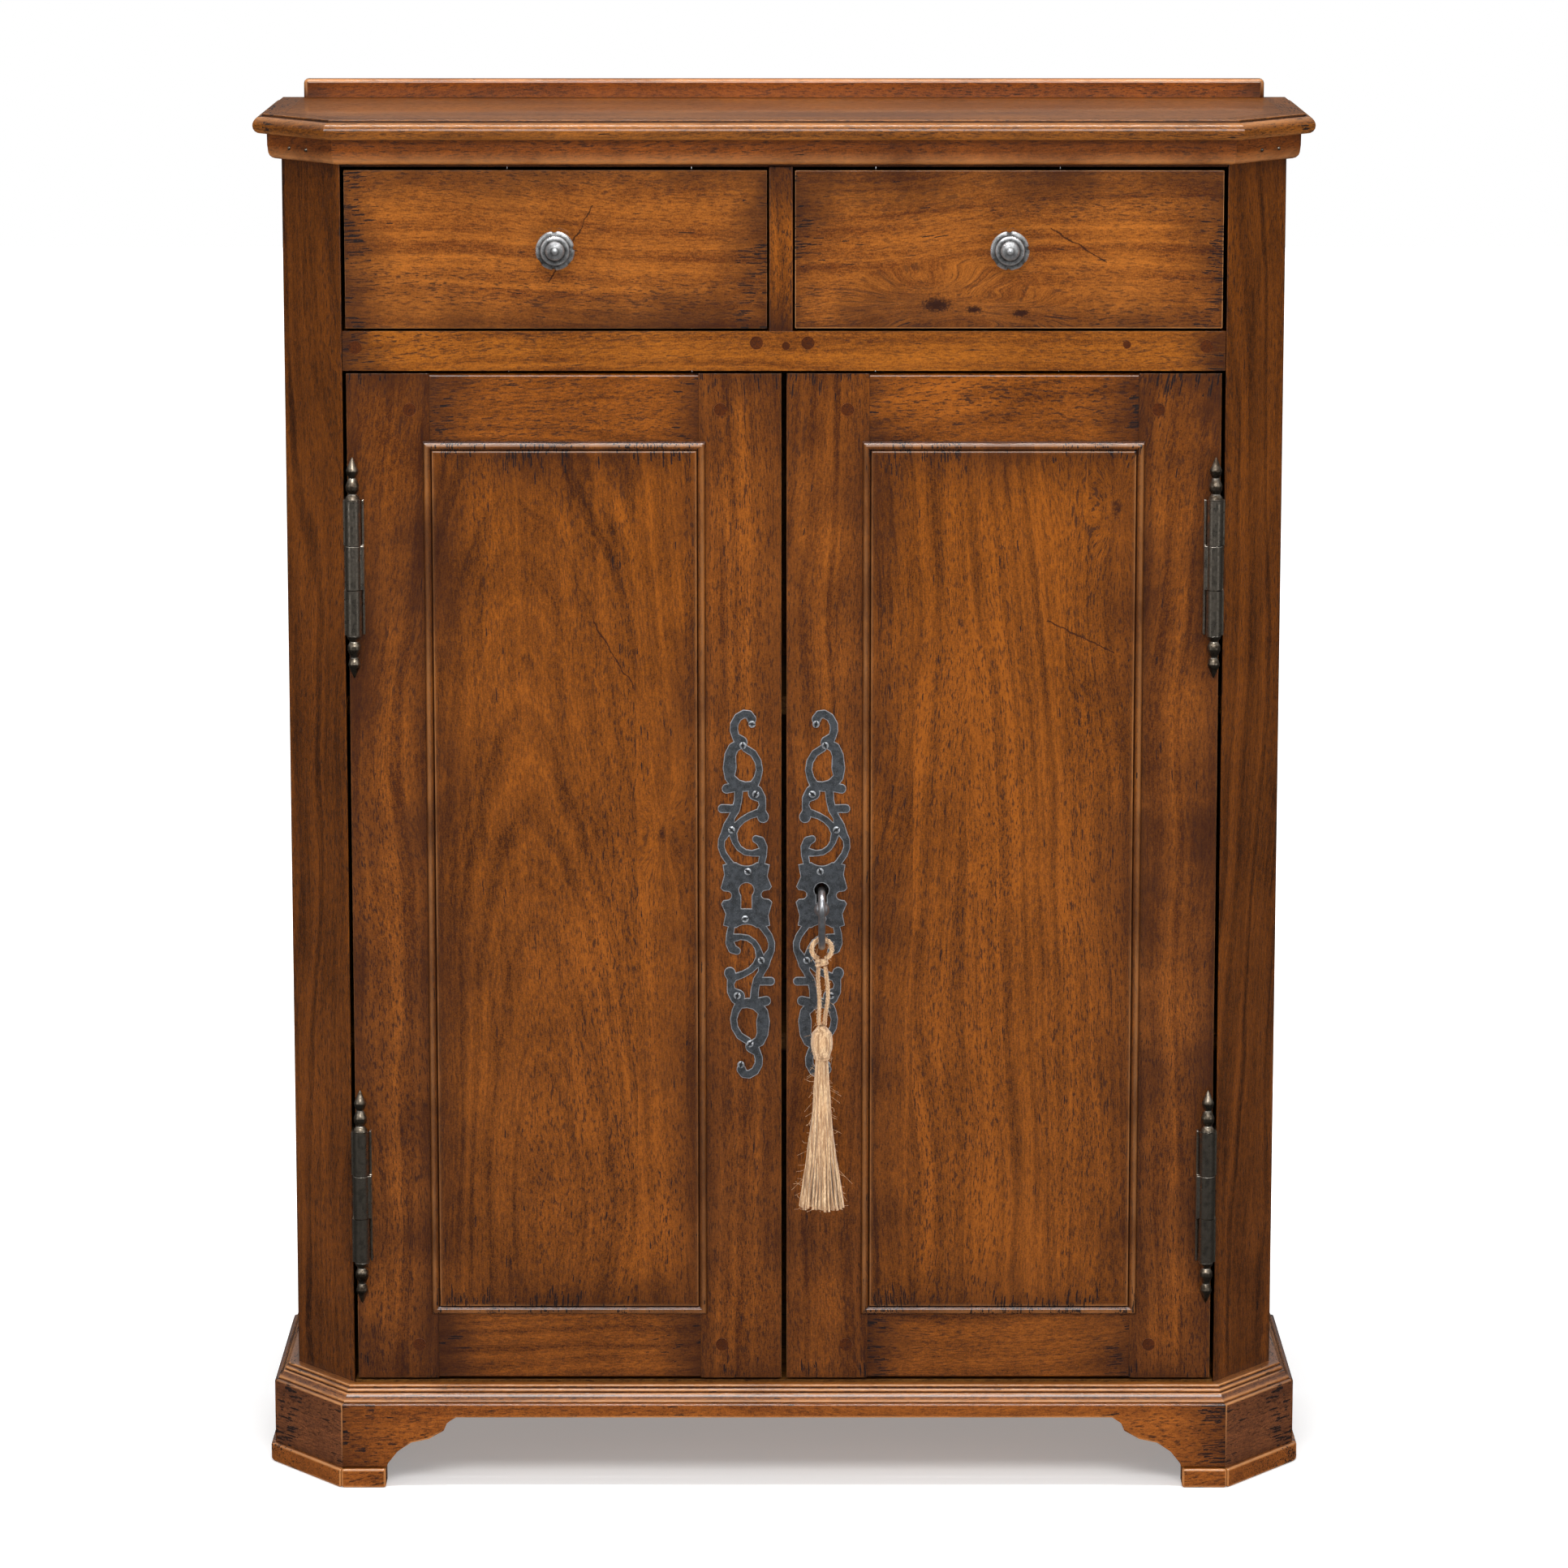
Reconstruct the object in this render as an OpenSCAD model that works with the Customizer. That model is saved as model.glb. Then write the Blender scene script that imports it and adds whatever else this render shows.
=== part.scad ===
// Two-door, two-drawer side cabinet in stained walnut with canted front corners.
// The origin is on the floor, under the middle of the overall box; the doors face -Y.

/* [Carcass] */
// Width across the side panels
body_w = 868; // [820:2:920]
// Depth from the face of the corner posts to the back edge
body_d = 280; // [270:2:320]
// Height of the top surface above the floor
top_z = 1202; // [1180:2:1260]
// Width that a canted corner takes off the front
cant_x = 55; // [50:1:60]
// Depth that a canted corner takes off the side
cant_y = 69; // [64:1:74]
// Thickness of the side panels
side_t = 20; // [16:1:24]
// Thickness of the top slab
slab_t = 17; // [15:1:20]
// How far the slab stands out past the carcass
slab_out = 24; // [20:1:28]
// Height of the gallery rail along the back of the top
gallery_h = 17; // [12:1:24]
// Thickness of the shelves and the bottom board
board_t = 16; // [14:1:20]

/* [Base] */
// Top of the base moulding
base_z = 90; // [86:1:96]
// Top of the plinth boards
plinth_z = 75.5; // [72:0.5:78]
// How far the plinth stands out past the carcass
plinth_out = 21; // [18:1:24]
// Thickness of the plinth boards
plinth_t = 21; // [18:1:21]
// Height of the foot pads
pad_h = 17.3; // [14:0.1:20]
// How far the foot pads stand out past the plinth
pad_out = 4; // [2:0.5:5]

// Underside of the side panels, above the cut-outs in the base
side_lo = 66; // [64:1:74]

/* [Drawers and doors] */
// Underside of the mid rail, over the doors
mid_lo = 986.5; // [980:0.5:990]
// Top of the mid rail, under the drawers
mid_hi = 1020.5; // [1016:0.5:1024]
// Underside of the top rail, over the drawers
rail_lo = 1161; // [1156:0.5:1165]
// Gap round a drawer front
drawer_gap = 2.4; // [1.5:0.1:3.5]
// Thickness of the fronts of the drawers
front_t = 20; // [16:1:24]
// Length of a drawer from its face to its back
drawer_len = 250; // [220:1:255]
// Where the middle of the drawer divider stands, left of centre
divider_shift = 2.6; // [0:0.1:5]
// Width of the drawer divider
divider_w = 20.5; // [18:0.5:24]
// Thickness of the door frames
door_t = 22; // [20:1:24]
// Gap between a door and the post beside it
door_gap = 3.5; // [3:0.1:4]
// Gap between the two doors
meet_gap = 4.8; // [4:0.1:6]
// Bottom edge of the doors
door_lo = 94; // [93:0.5:96]
// Width of the door stiles
stile_w = 71; // [65:1:76]

/* [Ironwork] */
// Radius of the hinge barrels
barrel_r = 6.8; // [6:0.1:7.5]
// Radius of the hinge pins
pin_r = 3.2; // [3:0.1:3.5]
// Length of a hinge barrel
barrel_l = 117; // [110:1:124]
// Thickness of the pierced escutcheons
escutcheon_t = 2; // [1.5:0.1:2.5]
// Middle of the escutcheons, from the middle of the cabinet
escutcheon_x = 32.7; // [32:0.1:33.4]
// Height of the keyholes
keyhole_z = 533; // [531:0.5:535]
// How far the bow of the key stands out in front of the doors
key_reach = 70; // [68:1:72]
// Angle at which the key droops in its worn lock
key_droop = 15; // [14:0.5:16]

/* [Hidden] */
$fn = 48;
// The face of the posts is at y = 0 in the modules, and front_y in the model
front_y = (key_reach - body_d) / 2;
half_w = body_w / 2;
cant_l = sqrt(cant_x * cant_x + cant_y * cant_y);
post_x = half_w - cant_x;
inner_x = half_w - side_t;
back_lo = body_d - 12;
back_hi = body_d - 4;
slab_lo = top_z - slab_t;
post_back = cant_y + 23;
// Where the inner face of a post turns towards the side panel, and its lap onto the panel
post_bend = 36;
post_step = 2;
run = 0.5;
door_x = post_x - door_gap;
door_hi = mid_lo - 2.5;
meet_x = meet_gap / 2;
rail_top_h = 64.6;
rail_bottom_h = 64;
shelf_tops = [397, 697];
divider_lo = -divider_shift - divider_w / 2;
divider_hi = -divider_shift + divider_w / 2;
drawer_lo = mid_hi + 2.5;
drawer_hi = rail_lo - 3;
drawer_side_hi = drawer_hi - 24;
drawer_x = [[-door_x, divider_lo - 1.8], [divider_hi + 1.8, door_x]];
hinge_x = 370.8;
hinge_y = -8.5;
leaf_x = hinge_x - barrel_r - 0.4;
hinge_mid = [260, 817];
knuckle_l = barrel_l / 3;
peg_r = 5.6;
key_pivot_y = 12;
bow_r = 14;
bow_half = 10;
wire_r = 3;
bolt_x = -36;
bolt_y = 29;
bolt_r = 4;
bolt_hole_r = 6;
bolt_len = 92;
knob_z = 1091;
key_tip = key_reach + key_pivot_y - bow_half * sin(key_droop) - bow_r - wire_r;
bow_s = key_tip / cos(key_droop);
// Lowest point of the bow's wire, where the tassel hangs
hang_y = key_pivot_y - bow_s * cos(key_droop) + bow_half * sin(key_droop);
hang_z = keyhole_z - bow_s * sin(key_droop) - bow_half * cos(key_droop) - bow_r;
loop_r = 8.7;
cord_r = 2.2;
loop_z = hang_z + wire_r + 1 + cord_r - loop_r;

// Routes of the two cords from the loop down to the tassel, each [x, y, z]
left_route = [[29.9, -48, 475], [29.4, -48.2, 466], [29.8, -48.8, 457], [30.6, -49, 448],
    [30.6, -48.5, 439], [30.2, -48, 430], [30.2, -48, 423]];
right_route = [[35.5, -48, 475], [36.8, -47.8, 466], [37.8, -47.3, 457], [38, -47.2, 448],
    [37, -47.6, 439], [35.6, -48, 430], [35.2, -48, 423]];

// ---- Shared shapes ----

module place() {
    translate([0, front_y, 0])
        children();
}

// A box between two corners
module box(lo, hi) {
    translate(lo)
        cube([hi[0] - lo[0], hi[1] - lo[1], hi[2] - lo[2]]);
}

module both_sides() {
    children();
    mirror([1, 0, 0])
        children();
}

// Corners of the cabinet's outline moved out by a distance: front x, and the y on the side
function front_x(out) = post_x + out * (cant_l - cant_x) / cant_y;
function side_y(out) = cant_y + out * (cant_y - cant_l) / cant_x;

function outline(out) = [
    [-front_x(out), -out], [front_x(out), -out], [half_w + out, side_y(out)],
    [half_w + out, body_d], [-half_w - out, body_d], [-half_w - out, side_y(out)]
];

// Plan of one length of moulding or plinth between two outlines, cut short at its mitres
function front_strip(a, b, cut = 0) = [
    [cut - front_x(a), -a], [front_x(a) - cut, -a], [front_x(b) - cut, -b], [cut - front_x(b), -b]
];
function cant_strip(a, b, cut = 0.2) = [
    [front_x(a) + cut, -a], [half_w + a, side_y(a) - cut],
    [half_w + b, side_y(b) - cut], [front_x(b) + cut, -b]
];
function side_strip(a, b, cut = 0) = [
    [half_w + a, side_y(a) + cut], [half_w + a, body_d - cut],
    [half_w + b, body_d - cut], [half_w + b, side_y(b) + cut]
];

module slice(z0, z1, points) {
    translate([0, 0, z0])
        linear_extrude(z1 - z0)
            polygon(points);
}

// A moulding round the front, cants and sides: steps of [low z, high z, stand-out, mitre gap]
module moulding(steps) {
    for (s = steps) {
        slice(s[0], s[1], front_strip(0, s[2], s[3]));
        both_sides() {
            slice(s[0], s[1], cant_strip(0, s[2], s[3] + 0.2));
            slice(s[0], s[1], side_strip(0, s[2], s[3]));
        }
    }
}

// Plan of a board that fills the carcass behind a given front edge
function inside_plan(y0, gap) = [
    [-post_x + gap, y0], [post_x - gap, y0], [post_x - gap, max(post_bend, y0)],
    [inner_x - post_step - gap, post_back + gap], [inner_x - gap, post_back + gap],
    [inner_x - gap, back_lo - gap], [-inner_x + gap, back_lo - gap],
    [-inner_x + gap, post_back + gap], [-inner_x + post_step + gap, post_back + gap],
    [-post_x + gap, max(post_bend, y0)]
];

// Pegs that pin the tenons of the posts and the divider into the mid rail: x, z, radius
rail_pegs = [
    [-367.5, 1006.5, peg_r], [-23.6, 1010.5, peg_r], [20.4, 1010.5, peg_r],
    [362.2, 1007.5, peg_r], [1.6, 1008, 3.4], [293.9, 1009, 3.4]
];

// ---- Carcass ----

module top_slab() color("#7b4420") place() {
    slice(slab_lo, slab_lo + 2.5, outline(slab_out - 4));
    slice(slab_lo + 2.5, slab_lo + 11, outline(slab_out));
    slice(slab_lo + 11, slab_lo + 14.5, outline(slab_out - 3));
    slice(slab_lo + 14.5, top_z, outline(slab_out - 8.7));
}

module gallery_rail() color("#7b4420") place()
    box([-half_w + 4.5, body_d - 12, top_z], [half_w - 4.5, body_d, top_z + gallery_h]);

module cornice() color("#6a3a1c") place()
    moulding([[1163, 1166, 8, 0.3], [1166, slab_lo, 12, 0]]);

module top_rail() color("#6a3a1c") place()
    box([-post_x + run, 1, rail_lo], [post_x - run, 22, slab_lo]);

module corner_post(side) {
    mirror([side < 0 ? 1 : 0, 0, 0])
        slice(pad_h, slab_lo, [[post_x, 0], [half_w, cant_y], [half_w, post_back],
            [inner_x - post_step, post_back], [post_x, post_bend]]);
}

module corner_post_left() color("#5e3219") place()
    corner_post(-1);

module corner_post_right() color("#5e3219") place()
    corner_post(1);

module side_panel(side) {
    mirror([side < 0 ? 1 : 0, 0, 0])
        box([inner_x, post_back, side_lo], [half_w, body_d, slab_lo]);
}

module side_panel_left() color("#6a3a1c") place()
    side_panel(-1);

module side_panel_right() color("#6a3a1c") place()
    side_panel(1);

// Five upright boards close the back
module back_boards() color("#6d4a2c") place() {
    count = 5;
    width = 2 * (inner_x - run) / count;
    for (i = [0 : count - 1])
        box([-inner_x + run + i * width, back_lo, plinth_z],
            [-inner_x + run + (i + 1) * width - 0.5, back_hi, slab_lo]);
}

// The hole takes the lower bolt of the left door
module bottom_board() color("#6d4a2c") place()
    difference() {
        slice(91.5 - board_t, 91.5, inside_plan(3, run));
        translate([bolt_x, bolt_y, 0])
            cylinder(r = bolt_hole_r, h = base_z + board_t);
    }

module shelf(z) {
    slice(z - board_t, z, inside_plan(40, run));
}

module shelf_upper() color("#6d4a2c") place()
    shelf(shelf_tops[1]);

module shelf_lower() color("#6d4a2c") place()
    shelf(shelf_tops[0]);

module shelf_cleats() color("#6d4a2c") place()
    both_sides()
        for (z = shelf_tops)
            box([inner_x - 14, post_back + 6, z - board_t - 18], [inner_x, 262, z - board_t]);

module mid_rail() color("#7b4420") place()
    difference() {
        box([-post_x + run, 0, mid_lo], [post_x - run, 24, mid_hi]);
        for (p = rail_pegs)
            translate([p[0], -1, p[1]])
                rotate([-90, 0, 0])
                    cylinder(r = p[2], h = 13);
    }

module drawer_divider() color("#7b4420") place()
    box([divider_lo, 0, mid_hi], [divider_hi, 24, rail_lo]);

// Three runners carry the drawers, three guides beside them keep the drawers straight
module drawer_runners() color("#6d4a2c") place() {
    both_sides() {
        box([post_x - 29, 24, 1002], [post_x - 1, back_lo, mid_hi]);
        box([post_x - 0.8, 64, 1002], [inner_x - 19, back_lo, 1045]);
    }
    box([divider_lo - 14, 24, 1002], [divider_hi + 14, back_lo, mid_hi]);
    box([divider_lo + 3, 24.2, mid_hi + 0.2], [divider_hi - 3, back_lo, 1045]);
}

module carcass_pegs() color("#54301a") place()
    for (p = rail_pegs)
        translate([p[0], -0.3, p[1]])
            rotate([-90, 0, 0])
                cylinder(r = p[2], h = 12.3);

// ---- Base ----

// Half of the cut-out between two bracket feet: how far along the board, and how high
bracket_edge = [
    [0, pad_h], [0.03, 21.6], [0.16, 31.9], [0.36, 39.7],
    [0.61, 43.1], [0.82, 50.5], [0.87, 57.9], [1, 62.7]
];
front_reach = 62;
side_reach = 46;
front_pad_end = 351;
side_pad_end = 117;
back_pad_end = body_d - 40;

// Lower edge of a board that stands on two pads, running from a to b
function bracket_line(a, b, reach) = concat(
    [for (p = bracket_edge) [a + reach * p[0], p[1]]],
    [for (i = [7 : -1 : 0]) [b - reach * bracket_edge[i][0], bracket_edge[i][1]]]
);

module base_front() color("#7b4420") place()
    intersection() {
        slice(0, plinth_z, front_strip(plinth_out - plinth_t, plinth_out));
        rotate([90, 0, 0])
            translate([0, 0, -plinth_t])
                linear_extrude(3 * plinth_t)
                    polygon(concat([[-half_w, plinth_z], [-half_w, pad_h]],
                        bracket_line(-front_pad_end, front_pad_end, front_reach),
                        [[half_w, pad_h], [half_w, plinth_z]]));
    }

module base_cants() color("#6a3a1c") place()
    both_sides()
        slice(pad_h, plinth_z, cant_strip(plinth_out - plinth_t, plinth_out));

module base_sides() color("#6a3a1c") place()
    both_sides()
        intersection() {
            slice(0, plinth_z, side_strip(plinth_out - plinth_t, plinth_out));
            translate([half_w, 0, 0])
                rotate([90, 0, 90])
                    linear_extrude(3 * plinth_t)
                        polygon(concat([[0, plinth_z], [0, pad_h]],
                            bracket_line(side_pad_end, back_pad_end, side_reach),
                            [[body_d + 1, pad_h], [body_d + 1, plinth_z]]));
        }

module base_back() color("#6d4a2c") place()
    box([-inner_x + run, body_d - 18, 35], [inner_x - run, body_d - 1, plinth_z - 0.2]);

module base_moulding() color("#7b4420") place()
    moulding([[plinth_z, 82, 17, 0], [82, base_z, 10, 0.3]]);

module foot_pads() color("#6a3a1c") place() {
    out = plinth_out + pad_out;
    both_sides() {
        slice(0, pad_h, [[front_pad_end, -1], [front_x(1), -1],
            [front_x(out), -out], [front_pad_end, -out]]);
        slice(0, pad_h, cant_strip(1, out));
        slice(0, pad_h, [[half_w + 1, side_y(1)], [half_w + 1, side_pad_end],
            [half_w + out, side_pad_end], [half_w + out, side_y(out)]]);
        box([half_w + 1, back_pad_end, 0], [half_w + out, body_d, pad_h]);
    }
}

// ---- Drawers, each drawn between the two ends of its front ----

module drawer_front(x) {
    difference() {
        box([x[0], 0, drawer_lo], [x[1], front_t, drawer_hi]);
        translate([(x[0] + x[1]) / 2, -1, knob_z])
            rotate([-90, 0, 0])
                cylinder(r = 3, h = 16);
    }
}

// The sides run on the runners, with a groove each for the bottom
module drawer_sides(x) {
    for (a = [[x[0] + 2, 1], [x[1] - 14, 0]])
        difference() {
            box([a[0], front_t, mid_hi + 0.3], [a[0] + 12, drawer_len, drawer_side_hi]);
            box([a[0] + 6 * a[1], front_t - 1, mid_hi + 6],
                [a[0] + 6 + 6 * a[1], drawer_len + 1, mid_hi + 12.4]);
        }
}

module drawer_back(x) {
    box([x[0] + 14.1, drawer_len - 14, mid_hi + 12.6],
        [x[1] - 14.1, drawer_len - 2, drawer_side_hi - 8]);
}

module drawer_bottom(x) {
    box([x[0] + 8.4, front_t + 0.2, mid_hi + 6.2], [x[1] - 8.4, drawer_len - 2, mid_hi + 12.2]);
}

// A cast knob with stepped rings, a short neck and a screw into the front
module drawer_knob(x) {
    translate([(x[0] + x[1]) / 2, 0, knob_z])
        rotate([90, 0, 0]) {
            rotate_extrude()
                polygon([[0, 0], [9, 0], [9, 1.6], [5.4, 3.4], [4.8, 8], [7, 12], [13, 14],
                    [16.4, 15], [16.8, 16.6], [14.6, 18.2], [12.6, 18.6], [11.6, 20.8],
                    [8.6, 21.6], [7.8, 23.6], [4.6, 25.4], [1.8, 26.2], [0, 27.2]]);
            translate([0, 0, -14])
                cylinder(r = 3, h = 15);
        }
}

module left_drawer_front() color("#804a22") place()
    drawer_front(drawer_x[0]);

module left_drawer_sides() color("#8c6238") place()
    drawer_sides(drawer_x[0]);

module left_drawer_back() color("#8c6238") place()
    drawer_back(drawer_x[0]);

module left_drawer_bottom() color("#8c6238") place()
    drawer_bottom(drawer_x[0]);

module left_drawer_knob() color("#6b6d6f") place()
    drawer_knob(drawer_x[0]);

module right_drawer_front() color("#804a22") place()
    drawer_front(drawer_x[1]);

module right_drawer_sides() color("#8c6238") place()
    drawer_sides(drawer_x[1]);

module right_drawer_back() color("#8c6238") place()
    drawer_back(drawer_x[1]);

module right_drawer_bottom() color("#8c6238") place()
    drawer_bottom(drawer_x[1]);

module right_drawer_knob() color("#6b6d6f") place()
    drawer_knob(drawer_x[1]);

// ---- Hinges ----

// The frame leaf lies against the post and carries the outer two knuckles
module frame_leaf(z) {
    lo = z - barrel_l / 2;
    difference() {
        union() {
            box([-post_x, hinge_y, lo], [-post_x + 1.6, 20, lo + barrel_l]);
            for (k = [0, 2])
                translate([-hinge_x, hinge_y, lo + k * knuckle_l])
                    cylinder(r = barrel_r, h = knuckle_l);
        }
        box([-post_x - 1, hinge_y - barrel_r, lo + knuckle_l - 0.3],
            [-hinge_x, -0.5, lo + 2 * knuckle_l + 0.3]);
        translate([-hinge_x, hinge_y, lo - 1])
            cylinder(r = pin_r + 0.05, h = barrel_l + 2);
    }
}

module hinge_frame_leaves() color("#4a4642") place()
    both_sides()
        for (z = hinge_mid)
            frame_leaf(z);

// A pin with a turned finial at each end
module hinge_pin(z) {
    half = barrel_l / 2;
    finial = [[0, half + 38], [1.6, half + 35], [5.4, half + 26], [4.6, half + 22.5],
        [3.2, half + 19.5], [5.8, half + 13], [5.6, half + 9], [3.6, half + 5.5],
        [5.6, half + 3], [6.4, half + 0.3], [pin_r, half + 0.3]];
    translate([-hinge_x, hinge_y, z])
        rotate_extrude()
            polygon(concat(finial, [for (i = [10 : -1 : 0]) [finial[i][0], -finial[i][1]]]));
}

module hinge_pins() color("#5a5650") place()
    both_sides()
        for (z = hinge_mid)
            hinge_pin(z);

// The door leaf runs into the face of the stile and carries the middle knuckle
module door_leaf(z) {
    lo = z - barrel_l / 2;
    difference() {
        union() {
            box([-leaf_x, -5, lo], [-leaf_x + 2, 16, lo + barrel_l]);
            box([-leaf_x - 3, hinge_y - 2, lo + knuckle_l + 0.4],
                [-leaf_x + 2, -4, lo + 2 * knuckle_l - 0.4]);
            translate([-hinge_x, hinge_y, lo + knuckle_l + 0.4])
                cylinder(r = barrel_r, h = knuckle_l - 0.8);
        }
        translate([-hinge_x, hinge_y, lo - 1])
            cylinder(r = pin_r + 0.05, h = barrel_l + 2);
    }
}

module door_leaves() {
    for (z = hinge_mid)
        door_leaf(z);
}

module left_hinge_leaves() color("#3c3835") place()
    door_leaves();

module right_hinge_leaves() color("#3c3835") place()
    mirror([1, 0, 0])
        door_leaves();

// ---- Doors, drawn for the left side ----

door_pegs = [
    [-door_x + 54, door_hi - 31], [-meet_x - 52.3, door_hi - 31],
    [-door_x + 54, door_lo + 30], [-meet_x - 52.3, door_lo + 30]
];

// Round holes for the pegs that pin the joints
module peg_holes() {
    for (p = door_pegs)
        translate([p[0], -1, p[1]])
            rotate([-90, 0, 0])
                cylinder(r = peg_r, h = 13);
}

module hinge_stile() {
    difference() {
        box([-door_x, 0, door_lo], [-door_x + stile_w, door_t, door_hi]);
        for (z = hinge_mid)
            box([-leaf_x, -1, z - barrel_l / 2], [-leaf_x + 2, 16, z + barrel_l / 2]);
        peg_holes();
    }
}

module meeting_stile() {
    difference() {
        box([-meet_x - stile_w, 0, door_lo], [-meet_x, door_t, door_hi]);
        peg_holes();
    }
}

module door_rails() {
    lo = -door_x + stile_w;
    hi = -meet_x - stile_w;
    box([lo, 0, door_hi - rail_top_h], [hi, door_t, door_hi]);
    box([lo, 0, door_lo], [hi, door_t, door_lo + rail_bottom_h]);
}

// A fielded panel: a plate between the frame members and a lip that laps over them
module door_panel() {
    lap = 6;
    x = [-door_x + stile_w, -meet_x - stile_w];
    z = [door_lo + rail_bottom_h, door_hi - rail_top_h];
    box([x[0], -2, z[0]], [x[1], 14, z[1]]);
    box([x[0] - lap, -4.5, z[0] - lap], [x[1] + lap, 0, z[1] + lap]);
}

module pegs() {
    for (p = door_pegs)
        translate([p[0], -0.3, p[1]])
            rotate([-90, 0, 0])
                cylinder(r = peg_r, h = 12.3);
}

module left_door_hinge_stile() color("#75401e") place()
    hinge_stile();

module left_door_meeting_stile() color("#75401e") place()
    meeting_stile();

module left_door_rails() color("#7b4420") place()
    door_rails();

module left_door_panel() color("#804a22") place()
    door_panel();

module left_door_pegs() color("#54301a") place()
    pegs();

module right_door_hinge_stile() color("#75401e") place()
    mirror([1, 0, 0])
        hinge_stile();

// The keyhole is cut right through
module right_door_meeting_stile() color("#75401e") place()
    difference() {
        mirror([1, 0, 0])
            meeting_stile();
        translate([escutcheon_x, -1, keyhole_z])
            rotate([-90, 0, 0])
                cylinder(r = 7.4, h = door_t + 2);
        box([escutcheon_x - 4.7, -1, keyhole_z - 17], [escutcheon_x + 4.7, door_t + 1, keyhole_z]);
    }

module right_door_rails() color("#7b4420") place()
    mirror([1, 0, 0])
        door_rails();

module right_door_panel() color("#804a22") place()
    mirror([1, 0, 0])
        door_panel();

module right_door_pegs() color("#54301a") place()
    mirror([1, 0, 0])
        pegs();

// ---- Escutcheons, drawn round their own middle as [x, z, half width] ----

esc_z = keyhole_z - 4.5;
// The drawn outline is a little short, and is stretched upward and downward by this
esc_stretch = 1.032;

hook = [[4.7, 150.5, 4], [2.5, 154.3, 3.5], [-2, 155, 3.4], [-7.3, 152, 3.4], [-10.4, 146.3, 3.5],
    [-10.7, 141, 3.5], [-9.1, 135.6, 3.3], [-4.6, 130.6, 5.6]];
ring_right = [[-1, 125.8, 3], [6.1, 121.4, 3], [10.3, 114.3, 3], [11.4, 107, 3], [9.6, 100, 3.3],
    [6.1, 93.8, 4], [-1, 93, 4.2], [-8.2, 94, 5]];
ring_left = [[-4.6, 130, 4], [-11.3, 126, 4.5], [-14, 119.6, 5], [-14.4, 109, 5.9],
    [-14.6, 101, 4.2], [-8.2, 94, 5]];
nub = [[-17.2, 91.2, 4], [-8, 93, 4]];
stem = [[-6.4, 91, 3.8], [-7.3, 81.3, 3.5], [-9.1, 73.3, 3.5], [-13.1, 66.2, 3], [-15.3, 59, 5]];
finger = [[-21.1, 74.2, 3.6], [-9.8, 74.2, 3.4]];
leaf = [[7.9, 87.8, 6.5], [13.2, 83.1, 3.8], [14.1, 76.9, 3], [12.7, 71.5, 4.2], [14.5, 67.1, 5]];
branch = [[12.7, 71, 3.6], [8.7, 70.2, 3.2], [2.5, 68, 2.8], [-3.7, 64.4, 2.8], [-8.2, 60, 3],
    [-12.4, 56.2, 5.2]];
outer_scroll = [[-15.3, 58.6, 5], [-18, 53.7, 4], [-21.5, 47.5, 3], [-22, 41.3, 2.9],
    [-19.7, 35, 2.9], [-15.3, 28.8, 3], [-12, 25, 3]];
inner_scroll = [[-12, 54, 3.8], [-9.8, 45.7, 2.7], [-6.4, 40.4, 2.5], [-1, 36.8, 2.5],
    [5.2, 35.9, 2.5], [11.4, 36.8, 3.5]];
curl = [[13.2, 28, 3], [14.5, 34.2, 3.3], [14.5, 41.3, 3.8], [12.3, 46.2, 3.9], [8.3, 48, 3.2]];
strokes = [hook, ring_right, ring_left, nub, stem, finger, leaf, branch, outer_scroll,
    inner_scroll, curl];
nail_spots = [[4.7, 150.5], [-3.7, 130.3], [7.7, 88.5], [-12.4, 56.9], [0.6, 20.8]];

// A ribbon of even thickness through a list of round spots
module stroke(spots) {
    for (i = [0 : len(spots) - 2])
        hull()
            for (s = [spots[i], spots[i + 1]])
                translate([s[0], s[1]])
                    circle(r = s[2], $fn = 24);
}

// The middle plate: edges that curve in between five points on each side
module middle_plate() {
    difference() {
        polygon([
            [-20.6, 26], [-19.2, 17.6], [-22.4, 6], [-20, 3.6], [-16, 3],
            [-16, -4], [-20, -4.6], [-22, -7.4], [-18.2, -16], [-20.2, -26],
            [-13, -28], [13, -28],
            [20.6, -26], [19.2, -17.6], [22.4, -6], [20, -3.6], [16, -3],
            [16, 4], [20, 4.6], [22, 7.4], [18.2, 16], [20.2, 26],
            [13, 28], [-13, 28]
        ]);
        for (a = [0, 180])
            rotate(a) {
                translate([-16.6, -0.4])
                    circle(r = 3.6, $fn = 24);
                translate([0, 39.5])
                    circle(r = 14.4, $fn = 48);
            }
    }
}

module escutcheon() {
    translate([-escutcheon_x, 0, esc_z])
        rotate([90, 0, 0])
            linear_extrude(escutcheon_t)
                difference() {
                    scale([1, esc_stretch]) {
                        middle_plate();
                        for (a = [0, 180])
                            rotate(a)
                                for (s = strokes)
                                    stroke(s);
                    }
                    translate([0, keyhole_z - esc_z])
                        circle(r = 6.5, $fn = 32);
                    translate([-4.6, keyhole_z - esc_z - 16.5])
                        square([9.2, 16.5]);
                }
}

module left_escutcheon() color("#4b4e50") place()
    escutcheon();

module right_escutcheon() color("#4b4e50") place()
    mirror([1, 0, 0])
        escutcheon();

// ---- Lock and bolts ----

lock_x = [6, 66];
lock_z = [491, 573];
lock_back = door_t + 15;
bolt_z = [557, 569];

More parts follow.
